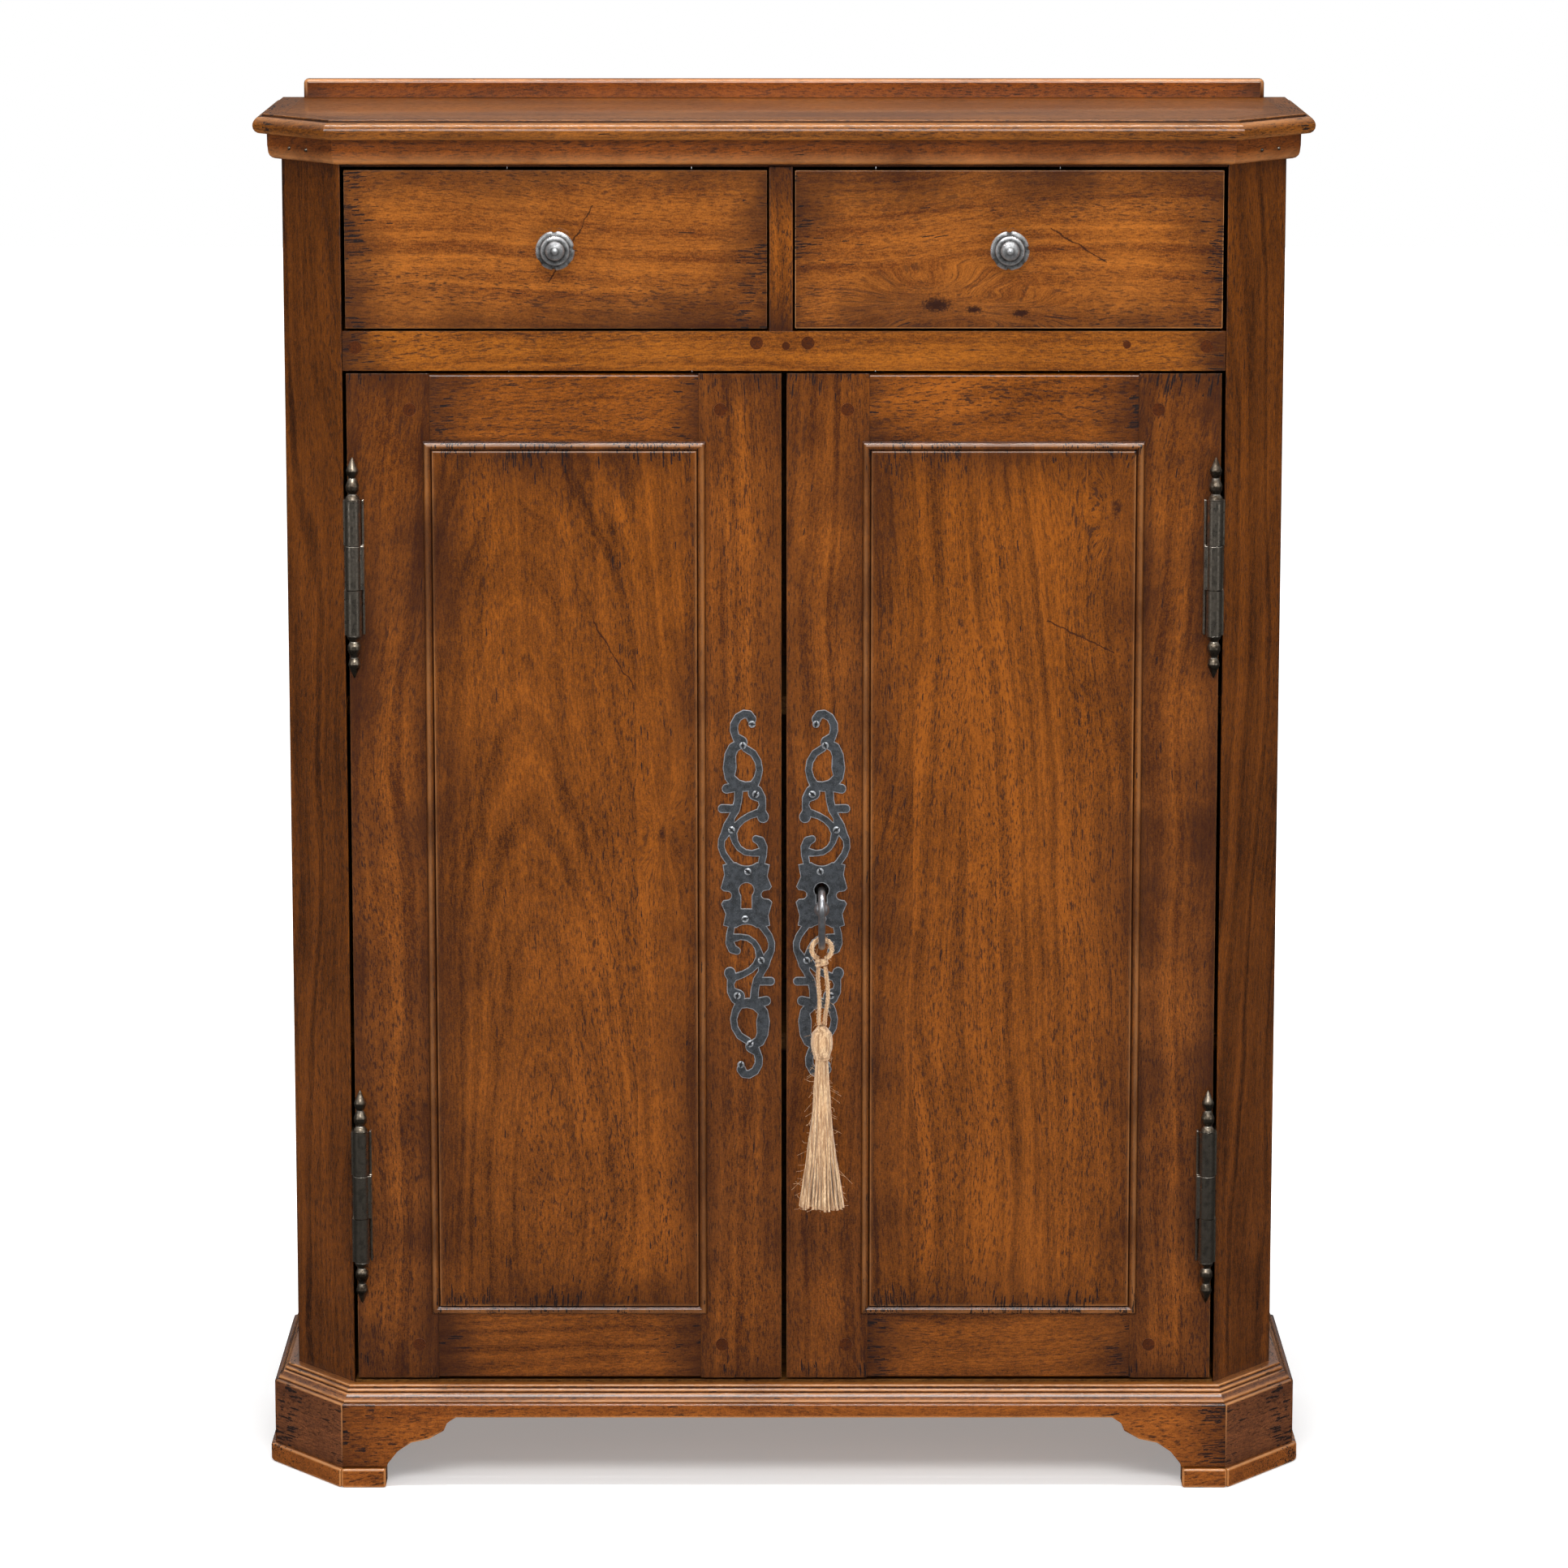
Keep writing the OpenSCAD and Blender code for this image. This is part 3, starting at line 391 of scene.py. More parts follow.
def walnut_group():
    """Colour, roughness and height of stained walnut whose grain runs along Z."""
    tree = bpy.data.node_groups.new("Stained Walnut", "ShaderNodeTree")
    inputs = (("Vector", "Vector"), ("Heart", "Vector"), ("Position", "Vector"),
              ("Light", "Color"), ("Dark", "Color"), ("Figure", "Float"),
              ("Edge Distance", "Float"), ("Rubbing", "Float"), ("End Distance", "Float"),
              ("Ink", "Float"), ("Wear Grime And Light", "Float"), ("Blemish", "Float"), ("Tone", "Float"))
    for name, kind in inputs:
        tree.interface.new_socket(name, in_out="INPUT", socket_type="NodeSocket" + kind)
    for name, kind in (("Color", "Color"), ("Roughness", "Float"), ("Height", "Float")):
        tree.interface.new_socket(name, in_out="OUTPUT", socket_type="NodeSocket" + kind)
    given = tree.nodes.new("NodeGroupInput").outputs
    warp = grain_noise(tree, given["Vector"], (2.6, 2.6, 1.3), 2, 0.5, "Color")
    warp = put(tree, "VectorMath", {0: warp, 1: (0.5, 0.5, 0.5)}, operation="SUBTRACT")
    warp = put(tree, "VectorMath", {0: warp.outputs[0], 1: (0.13, 0.13, 0.0)},
               operation="MULTIPLY").outputs[0]
    grain = put(tree, "VectorMath", {0: given["Vector"], 1: warp}, operation="ADD").outputs[0]
    centred = put(tree, "VectorMath", {0: given["Heart"], 1: warp}, operation="ADD").outputs[0]
    flat = put(tree, "VectorMath", {0: centred, 1: (1.0, 0.6, 0.16)}, operation="MULTIPLY")
    ring = put(tree, "VectorMath", {0: flat.outputs[0]}, operation="LENGTH").outputs["Value"]
    waver = grain_noise(tree, given["Vector"], (14, 14, 5), 3, 0.5)
    ring = calc(tree, "MULTIPLY_ADD", waver, 0.02, ring)
    rings = put(tree, "TexNoise", {"W": ring, "Scale": 95.0, "Detail": 4.0,
                                   "Roughness": 0.62}, noise_dimensions="1D").outputs["Fac"]
    streaks = grain_noise(tree, grain, (120, 120, 3.6), 8, 0.68)
    bands = grain_noise(tree, grain, (17, 17, 0.9), 4, 0.6)
    mottle = grain_noise(tree, given["Position"], (8, 8, 8), 5, 0.62)
    speckle = grain_noise(tree, grain, (620, 620, 170), 3, 0.7)
    fleck = grain_noise(tree, given["Position"], (760, 760, 760), 2, 0.6)
    shade = calc(tree, "MULTIPLY", calc(tree, "SUBTRACT", rings, 0.5), given["Figure"])
    for part, weight in ((streaks, 1.05), (bands, 0.5), (mottle, 0.95), (speckle, 1.25),
                         (fleck, 1.0)):
        shade = calc(tree, "MULTIPLY_ADD", calc(tree, "SUBTRACT", part, 0.5), weight, shade)
    shade = calc(tree, "ADD", shade, given["Tone"])
    shade = calc(tree, "ADD", shade, 0.5, clamp=True)
    colour = blend_colour(tree, shade, given["Dark"], given["Light"])
    pores = spread(tree, grain_noise(tree, grain, (800, 800, 125), 2, 0.6), 0.53, 0.63)
    pores = calc(tree, "MULTIPLY", pores, spread(tree, bands, 0.35, 0.6, 0.45, 1.0))
    colour = blend_colour(tree, calc(tree, "MULTIPLY", pores, 0.8), colour,
                          rgb(40, 20, 9))

    cloud = grain_noise(tree, given["Position"], (12, 12, 12), 5, 0.62)
    edge = calc(tree, "MULTIPLY_ADD", calc(tree, "SUBTRACT", cloud, 0.5), 0.11,
                given["Edge Distance"])
    edge = calc(tree, "SUBTRACT", 1.0, spread(tree, edge, -0.016, 0.056))
    edge = calc(tree, "MULTIPLY", edge, given["Rubbing"])
    edge = calc(tree, "MAXIMUM", edge, given["Blemish"], clamp=True)
    colour = blend_colour(tree, edge, colour, rgb(44, 19, 8))

    # Rounded arrises and bead tops are made paler: rubbed wear, and a painted highlight along them.
    wear_and_light_amount = calc(tree, "MAXIMUM", given["Wear Grime And Light"], 0.0)
    wear_and_light_amount = calc(tree, "MULTIPLY", wear_and_light_amount, spread(tree, cloud, 0.32, 0.62, 0.3, 1.0))
    colour = blend_colour(tree, calc(tree, "MULTIPLY", wear_and_light_amount, 0.7, clamp=True), colour,
                          rgb(204, 140, 82))
    # Grooves, quirks and hollows are made darker: grime, and painted shade in them.
    grime_and_shade = calc(tree, "MAXIMUM", calc(tree, "MULTIPLY", given["Wear Grime And Light"], -1.0), 0.0)
    grime_and_shade = calc(tree, "MULTIPLY", grime_and_shade, 0.85)
    colour = blend_colour(tree, grime_and_shade, colour, rgb(28, 14, 9))

    dash_place = put(tree, "VectorMath", {0: grain, 1: (560, 560, 44)}, operation="MULTIPLY")
    cells = put(tree, "TexVoronoi", {"Vector": dash_place.outputs[0], "Scale": 1.0,
                                     "Randomness": 1.0})
    lot = put(tree, "SeparateColor", {0: cells.outputs["Color"]}).outputs[0]
    breaks = grain_noise(tree, grain, (1100, 1100, 260), 3, 0.7)
    near_end = calc(tree, "SUBTRACT", 1.0, spread(tree, given["End Distance"], 0.0, 0.034))
    bold = calc(tree, "MULTIPLY_ADD", given["Ink"], 0.05, 0.58)
    size = calc(tree, "MULTIPLY", breaks, calc(tree, "MULTIPLY_ADD", near_end, 0.3, bold))
    dash = spread(tree, calc(tree, "SUBTRACT", size, cells.outputs["Distance"]), 0.0, 0.05)
    patch = grain_noise(tree, given["Position"], (26, 26, 26), 2)
    chance = calc(tree, "MULTIPLY", spread(tree, patch, 0.5, 0.62, 0.04, 1.0), 0.05)
    at_end = calc(tree, "MULTIPLY", spread(tree, patch, 0.46, 0.60, 0.03, 0.7), near_end)
    chance = calc(tree, "ADD", chance, at_end)
    chance = calc(tree, "MULTIPLY", chance, given["Ink"])
    ink = calc(tree, "MULTIPLY", dash, calc(tree, "LESS_THAN", lot, chance))
    colour = blend_colour(tree, calc(tree, "MULTIPLY", ink, 0.92), colour, rgb(20, 16, 17))

    rough = calc(tree, "MULTIPLY_ADD", pores, 0.16, 0.27)
    rough = calc(tree, "MULTIPLY_ADD", mottle, 0.14, rough)
    rough = calc(tree, "MULTIPLY_ADD", ink, 0.2, rough)
    rough = calc(tree, "MULTIPLY_ADD", grime_and_shade, 0.35, rough)
    height = calc(tree, "MULTIPLY_ADD", pores, -0.22, calc(tree, "MULTIPLY", streaks, 0.35))
    height = calc(tree, "SUBTRACT", height, ink)
    result = tree.nodes.new("NodeGroupOutput").inputs
    tree.links.new(colour, result["Color"])
    tree.links.new(rough, result["Roughness"])
    tree.links.new(height, result["Height"])
    return tree


distance_inside = inset_distance_group()
stained_walnut = walnut_group()


def box_limits(low, high, axes):
    """Two corners that bound a board only along the named axes."""
    return (tuple(v if a in axes else -far for v, a in zip(low, "xyz")),
            tuple(v if a in axes else far for v, a in zip(high, "xyz")))


def walnut(name, low, high, grain="z", face="xz", light=rgb(152, 80, 10),
           dark=rgb(66, 28, 3), figure=1.1, rubbing=0.85, ink=1.0, seed=0.0, knots=(),
           cracks=(), seams=(), coat=0.9, heart=None, mirrored=False):
    """The finish of one board: its box, the way its grain runs, and the sides that show."""
    made, tree, shader = material(name + "_walnut", Coat_Weight=coat, Coat_Roughness=0.11,
                                  Specular_IOR_Level=0.15)
    place = put(tree, "TexCoord").outputs["Object"]
    if mirrored:
        parts = put(tree, "SeparateXYZ", {0: place}).outputs
        place = put(tree, "CombineXYZ", {0: calc(tree, "ABSOLUTE", parts[0]), 1: parts[1],
                                         2: parts[2]}).outputs[0]
    ways = {"x": Vector((1, 0, 0)), "y": Vector((0, 1, 0)), "z": Vector((0, 0, 1))}
    way = ways[grain] if isinstance(grain, str) else grain.normalized()
    turn = way.rotation_difference(Vector((0, 0, 1))).to_euler()
    vector = put(tree, "Mapping", {"Vector": place, "Rotation": turn,
                                   "Location": (seed * 1.7, seed * 0.37, seed * 2.3)}
                 ).outputs[0]
    if heart is None:
        aside = Vector((0.35 + 0.11 * math.sin(seed), 0.2, 0.3 * math.cos(seed)))
        heart = (Vector(low) + Vector(high)) / 2 - way.rotation_difference(
            Vector((0, 0, 1))).inverted() @ aside
    from_heart = put(tree, "VectorMath", {0: place, 1: heart}, operation="SUBTRACT").outputs[0]
    from_heart = put(tree, "Mapping", {"Vector": from_heart, "Rotation": turn}).outputs[0]
    axis = "xyz".index(grain) if isinstance(grain, str) else 0
    limits = {}
    for label, axes in (("edge", face), ("end", "xyz"[axis])):
        lo, hi = box_limits(low, high, axes)
        limits[label] = put(tree, "Group", {"Position": place, "Low": lo, "High": hi},
                            node_tree=distance_inside).outputs[0]
    tone = 0.0
    for where, shift, paler in seams:
        step = put(tree, "SeparateXYZ", {0: place}).outputs[0]
        beyond = calc(tree, "GREATER_THAN", step, where)
        tone = calc(tree, "MULTIPLY_ADD", beyond, paler, tone)
        moved = put(tree, "CombineXYZ", {0: calc(tree, "MULTIPLY", beyond, shift),
                                         2: calc(tree, "MULTIPLY", beyond, shift * 1.9)})
        vector = put(tree, "VectorMath", {0: vector, 1: moved.outputs[0]},
                     operation="ADD").outputs[0]
        from_heart = put(tree, "VectorMath", {0: from_heart, 1: moved.outputs[0]},
                         operation="ADD").outputs[0]
    blemish = 0.0
    for centre, radius in knots:
        away = put(tree, "VectorMath", {0: place, 1: centre}, operation="SUBTRACT").outputs[0]
        if isinstance(grain, str):
            squeeze = tuple(0.45 if a == grain else 1.0 for a in "xyz")
            away = put(tree, "VectorMath", {0: away, 1: squeeze},
                       operation="MULTIPLY").outputs[0]
        reach = put(tree, "VectorMath", {0: away}, operation="LENGTH").outputs["Value"]
        pull = calc(tree, "SUBTRACT", 1.0, spread(tree, reach, 0.0, radius * 4))
        moved = put(tree, "VectorMath", {0: away, "Scale": calc(tree, "MULTIPLY", pull, 1.8)},
                    operation="SCALE").outputs[0]
        turned = put(tree, "Mapping", {"Vector": moved, "Rotation": turn}).outputs[0]
        vector = put(tree, "VectorMath", {0: vector, 1: turned}, operation="ADD").outputs[0]
        from_heart = put(tree, "VectorMath", {0: from_heart, 1: turned},
                         operation="ADD").outputs[0]
        ragged = grain_noise(tree, place, (420, 420, 420), 3, 0.7)
        dark_eye = calc(tree, "MULTIPLY_ADD", ragged, radius * 1.3, reach)
        dark_eye = calc(tree, "SUBTRACT", 1.0, spread(tree, dark_eye, radius * 0.9,
                                                      radius * 1.7))
        blemish = calc(tree, "MAXIMUM", blemish, dark_eye)
    for start, end, width in cracks:
        start, end = Vector(start), Vector(end)
        length = (end - start).length
        along = (end - start) / length
        shaky = grain_noise(tree, place, (90, 90, 90), 4, 0.6, "Color")
        shaky = put(tree, "VectorMath", {0: shaky, "Scale": 0.008}, operation="SCALE")
        moved = put(tree, "VectorMath", {0: place, 1: shaky.outputs[0]}, operation="ADD")
        away = put(tree, "VectorMath", {0: moved.outputs[0], 1: start + Vector((0.004,) * 3)},
                   operation="SUBTRACT").outputs[0]
        gone = put(tree, "VectorMath", {0: away, 1: along},
                   operation="DOT_PRODUCT").outputs["Value"]
        gone = calc(tree, "MINIMUM", calc(tree, "MAXIMUM", gone, 0.0), length)
        foot = put(tree, "VectorMath", {0: along, "Scale": gone}, operation="SCALE").outputs[0]
        off = put(tree, "VectorMath", {0: away, 1: foot}, operation="SUBTRACT").outputs[0]
        off = put(tree, "VectorMath", {0: off, 1: (1, 0, 1)}, operation="MULTIPLY").outputs[0]
        off = put(tree, "VectorMath", {0: off}, operation="LENGTH").outputs["Value"]
        line = calc(tree, "SUBTRACT", 1.0, spread(tree, off, width * 0.3, width))
        blemish = calc(tree, "MAXIMUM", blemish, calc(tree, "MULTIPLY", line, 0.9))
    wear_grime_and_light = put(tree, "Attribute", attribute_name="wear_grime_and_light").outputs["Fac"]
    wood = put(tree, "Group", {
        "Vector": vector, "Heart": from_heart, "Position": place, "Light": light, "Dark": dark, "Figure": figure,
        "Edge Distance": limits["edge"], "Rubbing": rubbing, "End Distance": limits["end"],
        "Ink": ink, "Wear Grime And Light": wear_grime_and_light, "Blemish": blemish, "Tone": tone},
        node_tree=stained_walnut).outputs
    tree.links.new(wood["Color"], shader.inputs["Base Color"])
    tree.links.new(wood["Roughness"], shader.inputs["Roughness"])
    bump = put(tree, "Bump", {"Height": wood["Height"], "Strength": 0.45,
                              "Distance": 0.0006})
    tree.links.new(bump.outputs[0], shader.inputs["Normal"])
    return made


def finish_piece(name, bm, finish, body, replaced=(), weighted=True):
    """A bmesh made into a piece that rides on a body and stands for its CAD nodes."""
    mesh = bpy.data.meshes.new(name)
    bm.to_mesh(mesh)
    bm.free()
    mesh.shade_smooth()
    mesh.materials.append(finish)
    piece = bpy.data.objects.new(name, mesh)
    scene.collection.objects.link(piece)
    if weighted:
        normals = piece.modifiers.new("normals", "WEIGHTED_NORMAL")
        normals.keep_sharp = True
    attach(piece, body)
    if replaced:
        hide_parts(*replaced)
    return piece


def side_of(normal):
    """Which side of a board a face is on: -x, +x, -y, +y, -z or +z."""
    axis = max(range(3), key=lambda i: abs(normal[i]))
    return ("+" if normal[axis] > 0 else "-") + "xyz"[axis]


def eased_copy(node, eased, ease, rest=0.0004, segments=3):
    """A CAD board with clean faces, its arrises rounded where both faces are on eased sides."""
    bm = bmesh.new()
    bm.from_mesh(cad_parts[node].data)
    bmesh.ops.remove_doubles(bm, verts=bm.verts, dist=0.00001)
    bmesh.ops.recalc_face_normals(bm, faces=bm.faces)
    bmesh.ops.dissolve_limit(bm, angle_limit=math.radians(1), verts=bm.verts, edges=bm.edges)
    wear_grime_and_light = bm.verts.layers.float.new("wear_grime_and_light")
    corner = math.radians(35)
    for soft in (True, False):
        edges = [e for e in bm.edges if len(e.link_faces) == 2 and e.calc_face_angle() > corner
                 and soft == all(side_of(f.normal) in eased for f in e.link_faces)]
        if not soft:
            edges = [e for e in edges if not any(f.calc_area() < 0.00006 for f in e.link_faces)]
        if not edges:
            continue
        made = bmesh.ops.bevel(bm, geom=edges, offset=ease if soft else rest,
                               offset_type="OFFSET", affect="EDGES",
                               segments=segments if soft else 1, profile=0.5, material=-1,
                               clamp_overlap=True)
        # Rounded arrises are marked to be made paler, as wear and as a painted highlight.
        if soft:
            rounded = set(made["faces"])
            for vert in made["verts"]:
                if all(f in rounded for f in vert.link_faces):
                    vert[wear_grime_and_light] = 1.0
    for edge in bm.edges:
        if len(edge.link_faces) == 2 and edge.calc_face_angle() > math.radians(60):
            edge.smooth = False
    return bm


def board(node, body, slot, eased="", ease=0.0025, **look):
    """A CAD board redrawn with eased arrises and its own piece of walnut."""
    low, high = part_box(node)
    sides = {eased[i:i + 2] for i in range(0, len(eased), 2)}
    bm = eased_copy(node, sides, ease)
    return finish_piece(node + "_wood", bm, walnut(node, low, high, **look), body,
                        [node])


post_light = rgb(116, 60, 6)
post_dark = rgb(34, 14, 3)
for side, seed in (("left", 1.0), ("right", 2.0)):
    board("corner_post_" + side, "root", "walnut_carcass", "-x+x-y", 0.0015, face="z",
          light=post_light, dark=post_dark, figure=1.3, rubbing=0.6, ink=1.2, seed=seed)
    board("side_panel_" + side, "root", "walnut_carcass", "-x+x+y", 0.0015, face="z",
          light=post_light, dark=post_dark, figure=0.7, rubbing=0.6, ink=0.35, seed=seed + 5)
board("top_rail", "root", "walnut_carcass", light=post_light, dark=post_dark, grain="x",
      seed=3.0)
board("mid_rail", "root", "walnut_front", "-y+z-z", 0.002, grain="x", face="x", seed=4.0,
      light=rgb(160, 92, 18), dark=rgb(74, 33, 5))
board("drawer_divider", "root", "walnut_front", "-y-x+x", 0.0015, seed=5.0, face="z",
      light=rgb(146, 80, 14), dark=rgb(66, 30, 4))

# The pegs that pin the joints: end grain, left a little proud.
peg_finish = walnut("pegs", (-1, -1, -1), (1, 1, 1), grain="y", light=rgb(92, 42, 4),
                    dark=rgb(46, 18, 4), figure=0.2, rubbing=0.0, ink=0.0, seed=9.0)
for node, body in (("carcass_pegs", "root"), ("left_door_pegs", "left_door"),
                   ("right_door_pegs", "right_door")):
    finish_piece(node + "_wood", eased_copy(node, {"-y"}, 0.0006), peg_finish, body,
                 [node])

# The inside: the same wood, only waxed, so it is paler and dull.
inside_look = dict(light=rgb(158, 106, 50), dark=rgb(92, 53, 24), rubbing=0.3, ink=0.2,
                   coat=0.0)
for node, grain, face, seed in (
        ("bottom_board", "x", "xy", 11.0), ("shelf_upper", "x", "xy", 12.0),
        ("shelf_lower", "x", "xy", 13.0), ("shelf_cleats", "y", "yz", 14.0),
        ("drawer_runners", "y", "yz", 15.0), ("back_boards", "z", "z", 16.0),
        ("base_back", "x", "xz", 17.0)):
    board(node, "root", "walnut_inside", grain=grain, face=face, seed=seed, **inside_look)

# ---- Top ----
# A slab with a moulded edge: a quirk cut in the top, then an ovolo down to a bullnose. A low
# gallery rail stands on its back edge, and a cornice is glued and pinned under it.
slab_low, slab_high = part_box("top_slab")
slab_edge = (  # how far out from the carcass, how far below the top, and wear and painted light (paler above 0: wear and painted highlight; darker below 0: grime and painted shade)
    (0.0148, 0.0, 0.0), (0.0152, 0.0002, 0.6), (0.0154, 0.0006, -0.3), (0.0156, 0.0022, -1.0),
    (0.0168, 0.0023, -1.0), (0.0178, 0.0025, 0.0), (0.0194, 0.0029, 0.5),
    (0.0212, 0.0041, 0.5), (0.0228, 0.0061, 0.1), (0.0238, 0.0084, -0.1),
    (0.0240, 0.0104, 0.0), (0.0235, 0.0130, 0.0), (0.0220, 0.0152, 0.1),
    (0.0198, 0.0166, 0.2),
    (0.0180, 0.0170, -0.5))
path = [Vector(p) for p in (
    (-half_width, back_y, 0), (-half_width, front_y + cant_depth, 0),
    (-post_edge, front_y, 0), (post_edge, front_y, 0),
    (half_width, front_y + cant_depth, 0), (half_width, back_y, 0))]
run_names = ("left_side", "left_cant", "front", "right_cant", "right_side")


def mitred_run(number, profile):
    """A straight length of moulding, cut at its mitres: profile is (out, z, wear) points."""
    start, end = path[number], path[number + 1]
    along = (end - start).normalized()
    out = Vector((along.y, -along.x, 0))
    spare = 0.05
    bm = bmesh.new()
    wear_grime_and_light = bm.verts.layers.float.new("wear_grime_and_light")
    ring = []
    for reach, z, wear_and_light_amount in profile:
        vert = bm.verts.new(start - along * spare + out * reach + Vector((0, 0, z)))
        vert[wear_grime_and_light] = wear_and_light_amount
        ring.append(vert)
    section = bm.faces.new(ring)
    pulled = bmesh.ops.extrude_face_region(bm, geom=[section])
    new = [v for v in pulled["geom"] if isinstance(v, bmesh.types.BMVert)]
    bmesh.ops.translate(bm, verts=new, vec=along * ((end - start).length + 2 * spare))
    for place, neighbour, keep in ((start, number - 1, "end"), (end, number + 1, "start")):
        plane = along
        if 0 <= neighbour < len(path) - 1:
            other = (path[neighbour + 1] - path[neighbour]).normalized()
            plane = (along + other).normalized()
        geom = bm.verts[:] + bm.edges[:] + bm.faces[:]
        bmesh.ops.bisect_plane(bm, geom=geom, dist=1e-7, plane_co=place, plane_no=plane,
                               clear_inner=keep == "end", clear_outer=keep == "start")
        bmesh.ops.holes_fill(bm, edges=[e for e in bm.edges if e.is_boundary], sides=0)
    bmesh.ops.recalc_face_normals(bm, faces=bm.faces)
    return bm


def run_grain(number):
    return path[number + 1] - path[number]


def mark_sharp(bm, degrees):
    for edge in bm.edges:
        if len(edge.link_faces) == 2 and edge.calc_face_angle() > math.radians(degrees):
            edge.smooth = False


slab_profile = [(o, slab_high.z - d, w) for o, d, w in slab_edge]
slab_profile += [(-0.004, slab_low.z, 0.0), (-0.004, slab_high.z, 0.0)]
top_light = rgb(156, 92, 26)
top_dark = rgb(80, 40, 12)
for number, run in enumerate(run_names):
    edge_strip = mitred_run(number, slab_profile)
    mark_sharp(edge_strip, 40)
    finish_piece("slab_edge_" + run, edge_strip,
                 walnut("slab_edge_" + run, slab_low, slab_high, grain=run_grain(number),
                        face="", light=rgb(146, 84, 20), dark=rgb(60, 29, 6), seed=20.0 + number,
                        figure=0.5, rubbing=0.0, ink=1.6, coat=0.5),
                 "root")
field = bmesh.new()
corners = []
for number in range(len(path)):
    corners.append(path[number].copy())
inner = 0.0042
plan = [Vector((-half_width + inner, back_y, 0)),
        Vector((-half_width + inner, front_y + cant_depth, 0)),
        Vector((-post_edge, front_y + inner, 0)), Vector((post_edge, front_y + inner, 0)),
        Vector((half_width - inner, front_y + cant_depth, 0)),
        Vector((half_width - inner, back_y, 0))]
face = field.faces.new([field.verts.new(p + Vector((0, 0, slab_low.z))) for p in plan])
raised = bmesh.ops.extrude_face_region(field, geom=[face])
bmesh.ops.translate(field, vec=(0, 0, slab_high.z - slab_low.z),
                    verts=[v for v in raised["geom"] if isinstance(v, bmesh.types.BMVert)])
bmesh.ops.recalc_face_normals(field, faces=field.faces)
finish_piece("top_slab_field", field,
             walnut("top_slab", slab_low, slab_high, grain="x", face="", light=top_light,
                    dark=top_dark, seed=26.0, figure=0.4, rubbing=0.0, ink=0.3, coat=0.5),
             "root", ["top_slab"])
board("gallery_rail", "root", "walnut_front", "-x+x-y+y+z", 0.004, grain="x", face="x",
      light=rgb(152, 80, 17), dark=rgb(76, 33, 6), seed=27.0, figure=0.3, ink=0.2)

cornice_low, cornice_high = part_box("cornice")
cornice_profile = [
    (0.0, cornice_high.z, 0), (0.0120, cornice_high.z, 0), (0.0118, cornice_high.z - 0.010, 0),
    (0.0110, cornice_low.z + 0.0055, 0.3), (0.0098, cornice_low.z + 0.0028, 0.5),
    (0.0076, cornice_low.z + 0.0010, 0.3), (0.0050, cornice_low.z + 0.0002, 0.0),
    (0.0, cornice_low.z, 0.0)]
for number, run in enumerate(run_names):
    strip = mitred_run(number, cornice_profile)
    mark_sharp(strip, 40)
    finish_piece("cornice_" + run, strip,
                 walnut("cornice_" + run, cornice_low, cornice_high, grain=run_grain(number),
                        face="z", light=rgb(150, 78, 15), dark=rgb(66, 28, 4),
                        seed=30.0 + number, figure=0.3, rubbing=0.5, ink=0.25),
                 "root", ["cornice"] if run == "front" else ())

# ---- Base ----
# Boards mitred round the foot of the carcass, with a bracket cut-out between the feet, a
# moulding glued on top of them and thick pads under the feet.
base_light = rgb(164, 91, 24)
base_dark = rgb(80, 36, 8)
board("base_front", "root", "walnut_front", "-y+z-z", 0.0022, grain="x", face="x",
      light=base_light, dark=base_dark, seed=40.0, figure=0.35, rubbing=0.8, ink=3.2)
board("base_sides", "root", "walnut_carcass", "-x+x+z", 0.0022, grain="y", face="z",
      light=base_light, dark=base_dark, seed=41.0, figure=0.35, rubbing=0.5, ink=1.2)
board("base_cants", "root", "walnut_carcass", "-x+x-y+y+z", 0.0022, grain=cant_grain, face="z",
      light=rgb(150, 88, 46), dark=rgb(60, 32, 20), seed=42.0, figure=0.3, rubbing=0.5,
      ink=5.5, mirrored=True)
board("foot_pads", "root", "walnut_carcass", "-x+x-y+y+z-z", 0.0025, grain="x", face="",
      light=base_light, dark=base_dark, seed=43.0, figure=0.3, rubbing=0.3, ink=3.0)
base_low, base_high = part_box("base_moulding")
fillet_z = base_high.z
base_edge = (  # how far out from the carcass, how far below the top, and wear and painted light (paler above 0: wear and painted highlight; darker below 0: grime and painted shade)
    (0.0, 0.0, 0.0), (0.0078, 0.0, 0.3), (0.0088, 0.0006, 1.3), (0.0091, 0.0016, 0.2),
    (0.0090, 0.0030, -1.0), (0.0098, 0.0033, -0.3), (0.0112, 0.0041, 1.3),
    (0.0117, 0.0053, 0.4), (0.0112, 0.0067, -1.0), (0.0122, 0.0070, 0.2),
    (0.0130, 0.0074, 1.3), (0.0136, 0.0082, 0.1), (0.0143, 0.0096, -0.5),
    (0.0156, 0.0112, 0.0), (0.0170, 0.0124, 1.0), (0.0176, 0.0134, 0.5),
    (0.0176, 0.0145, -0.6), (0.0, 0.0145, 0.0))
for number, run in enumerate(run_names):
    strip = mitred_run(number, [(o, fillet_z - d, w) for o, d, w in base_edge])
    mark_sharp(strip, 50)
    finish_piece("base_moulding_" + run, strip,
                 walnut("base_moulding_" + run, base_low, base_high, grain=run_grain(number),
                        face="", light=rgb(158, 92, 34), dark=rgb(70, 34, 12),
                        seed=45.0 + number, figure=0.8, rubbing=0.0, ink=1.2, coat=1.0),
                 "root", ["base_moulding"] if run == "front" else ())

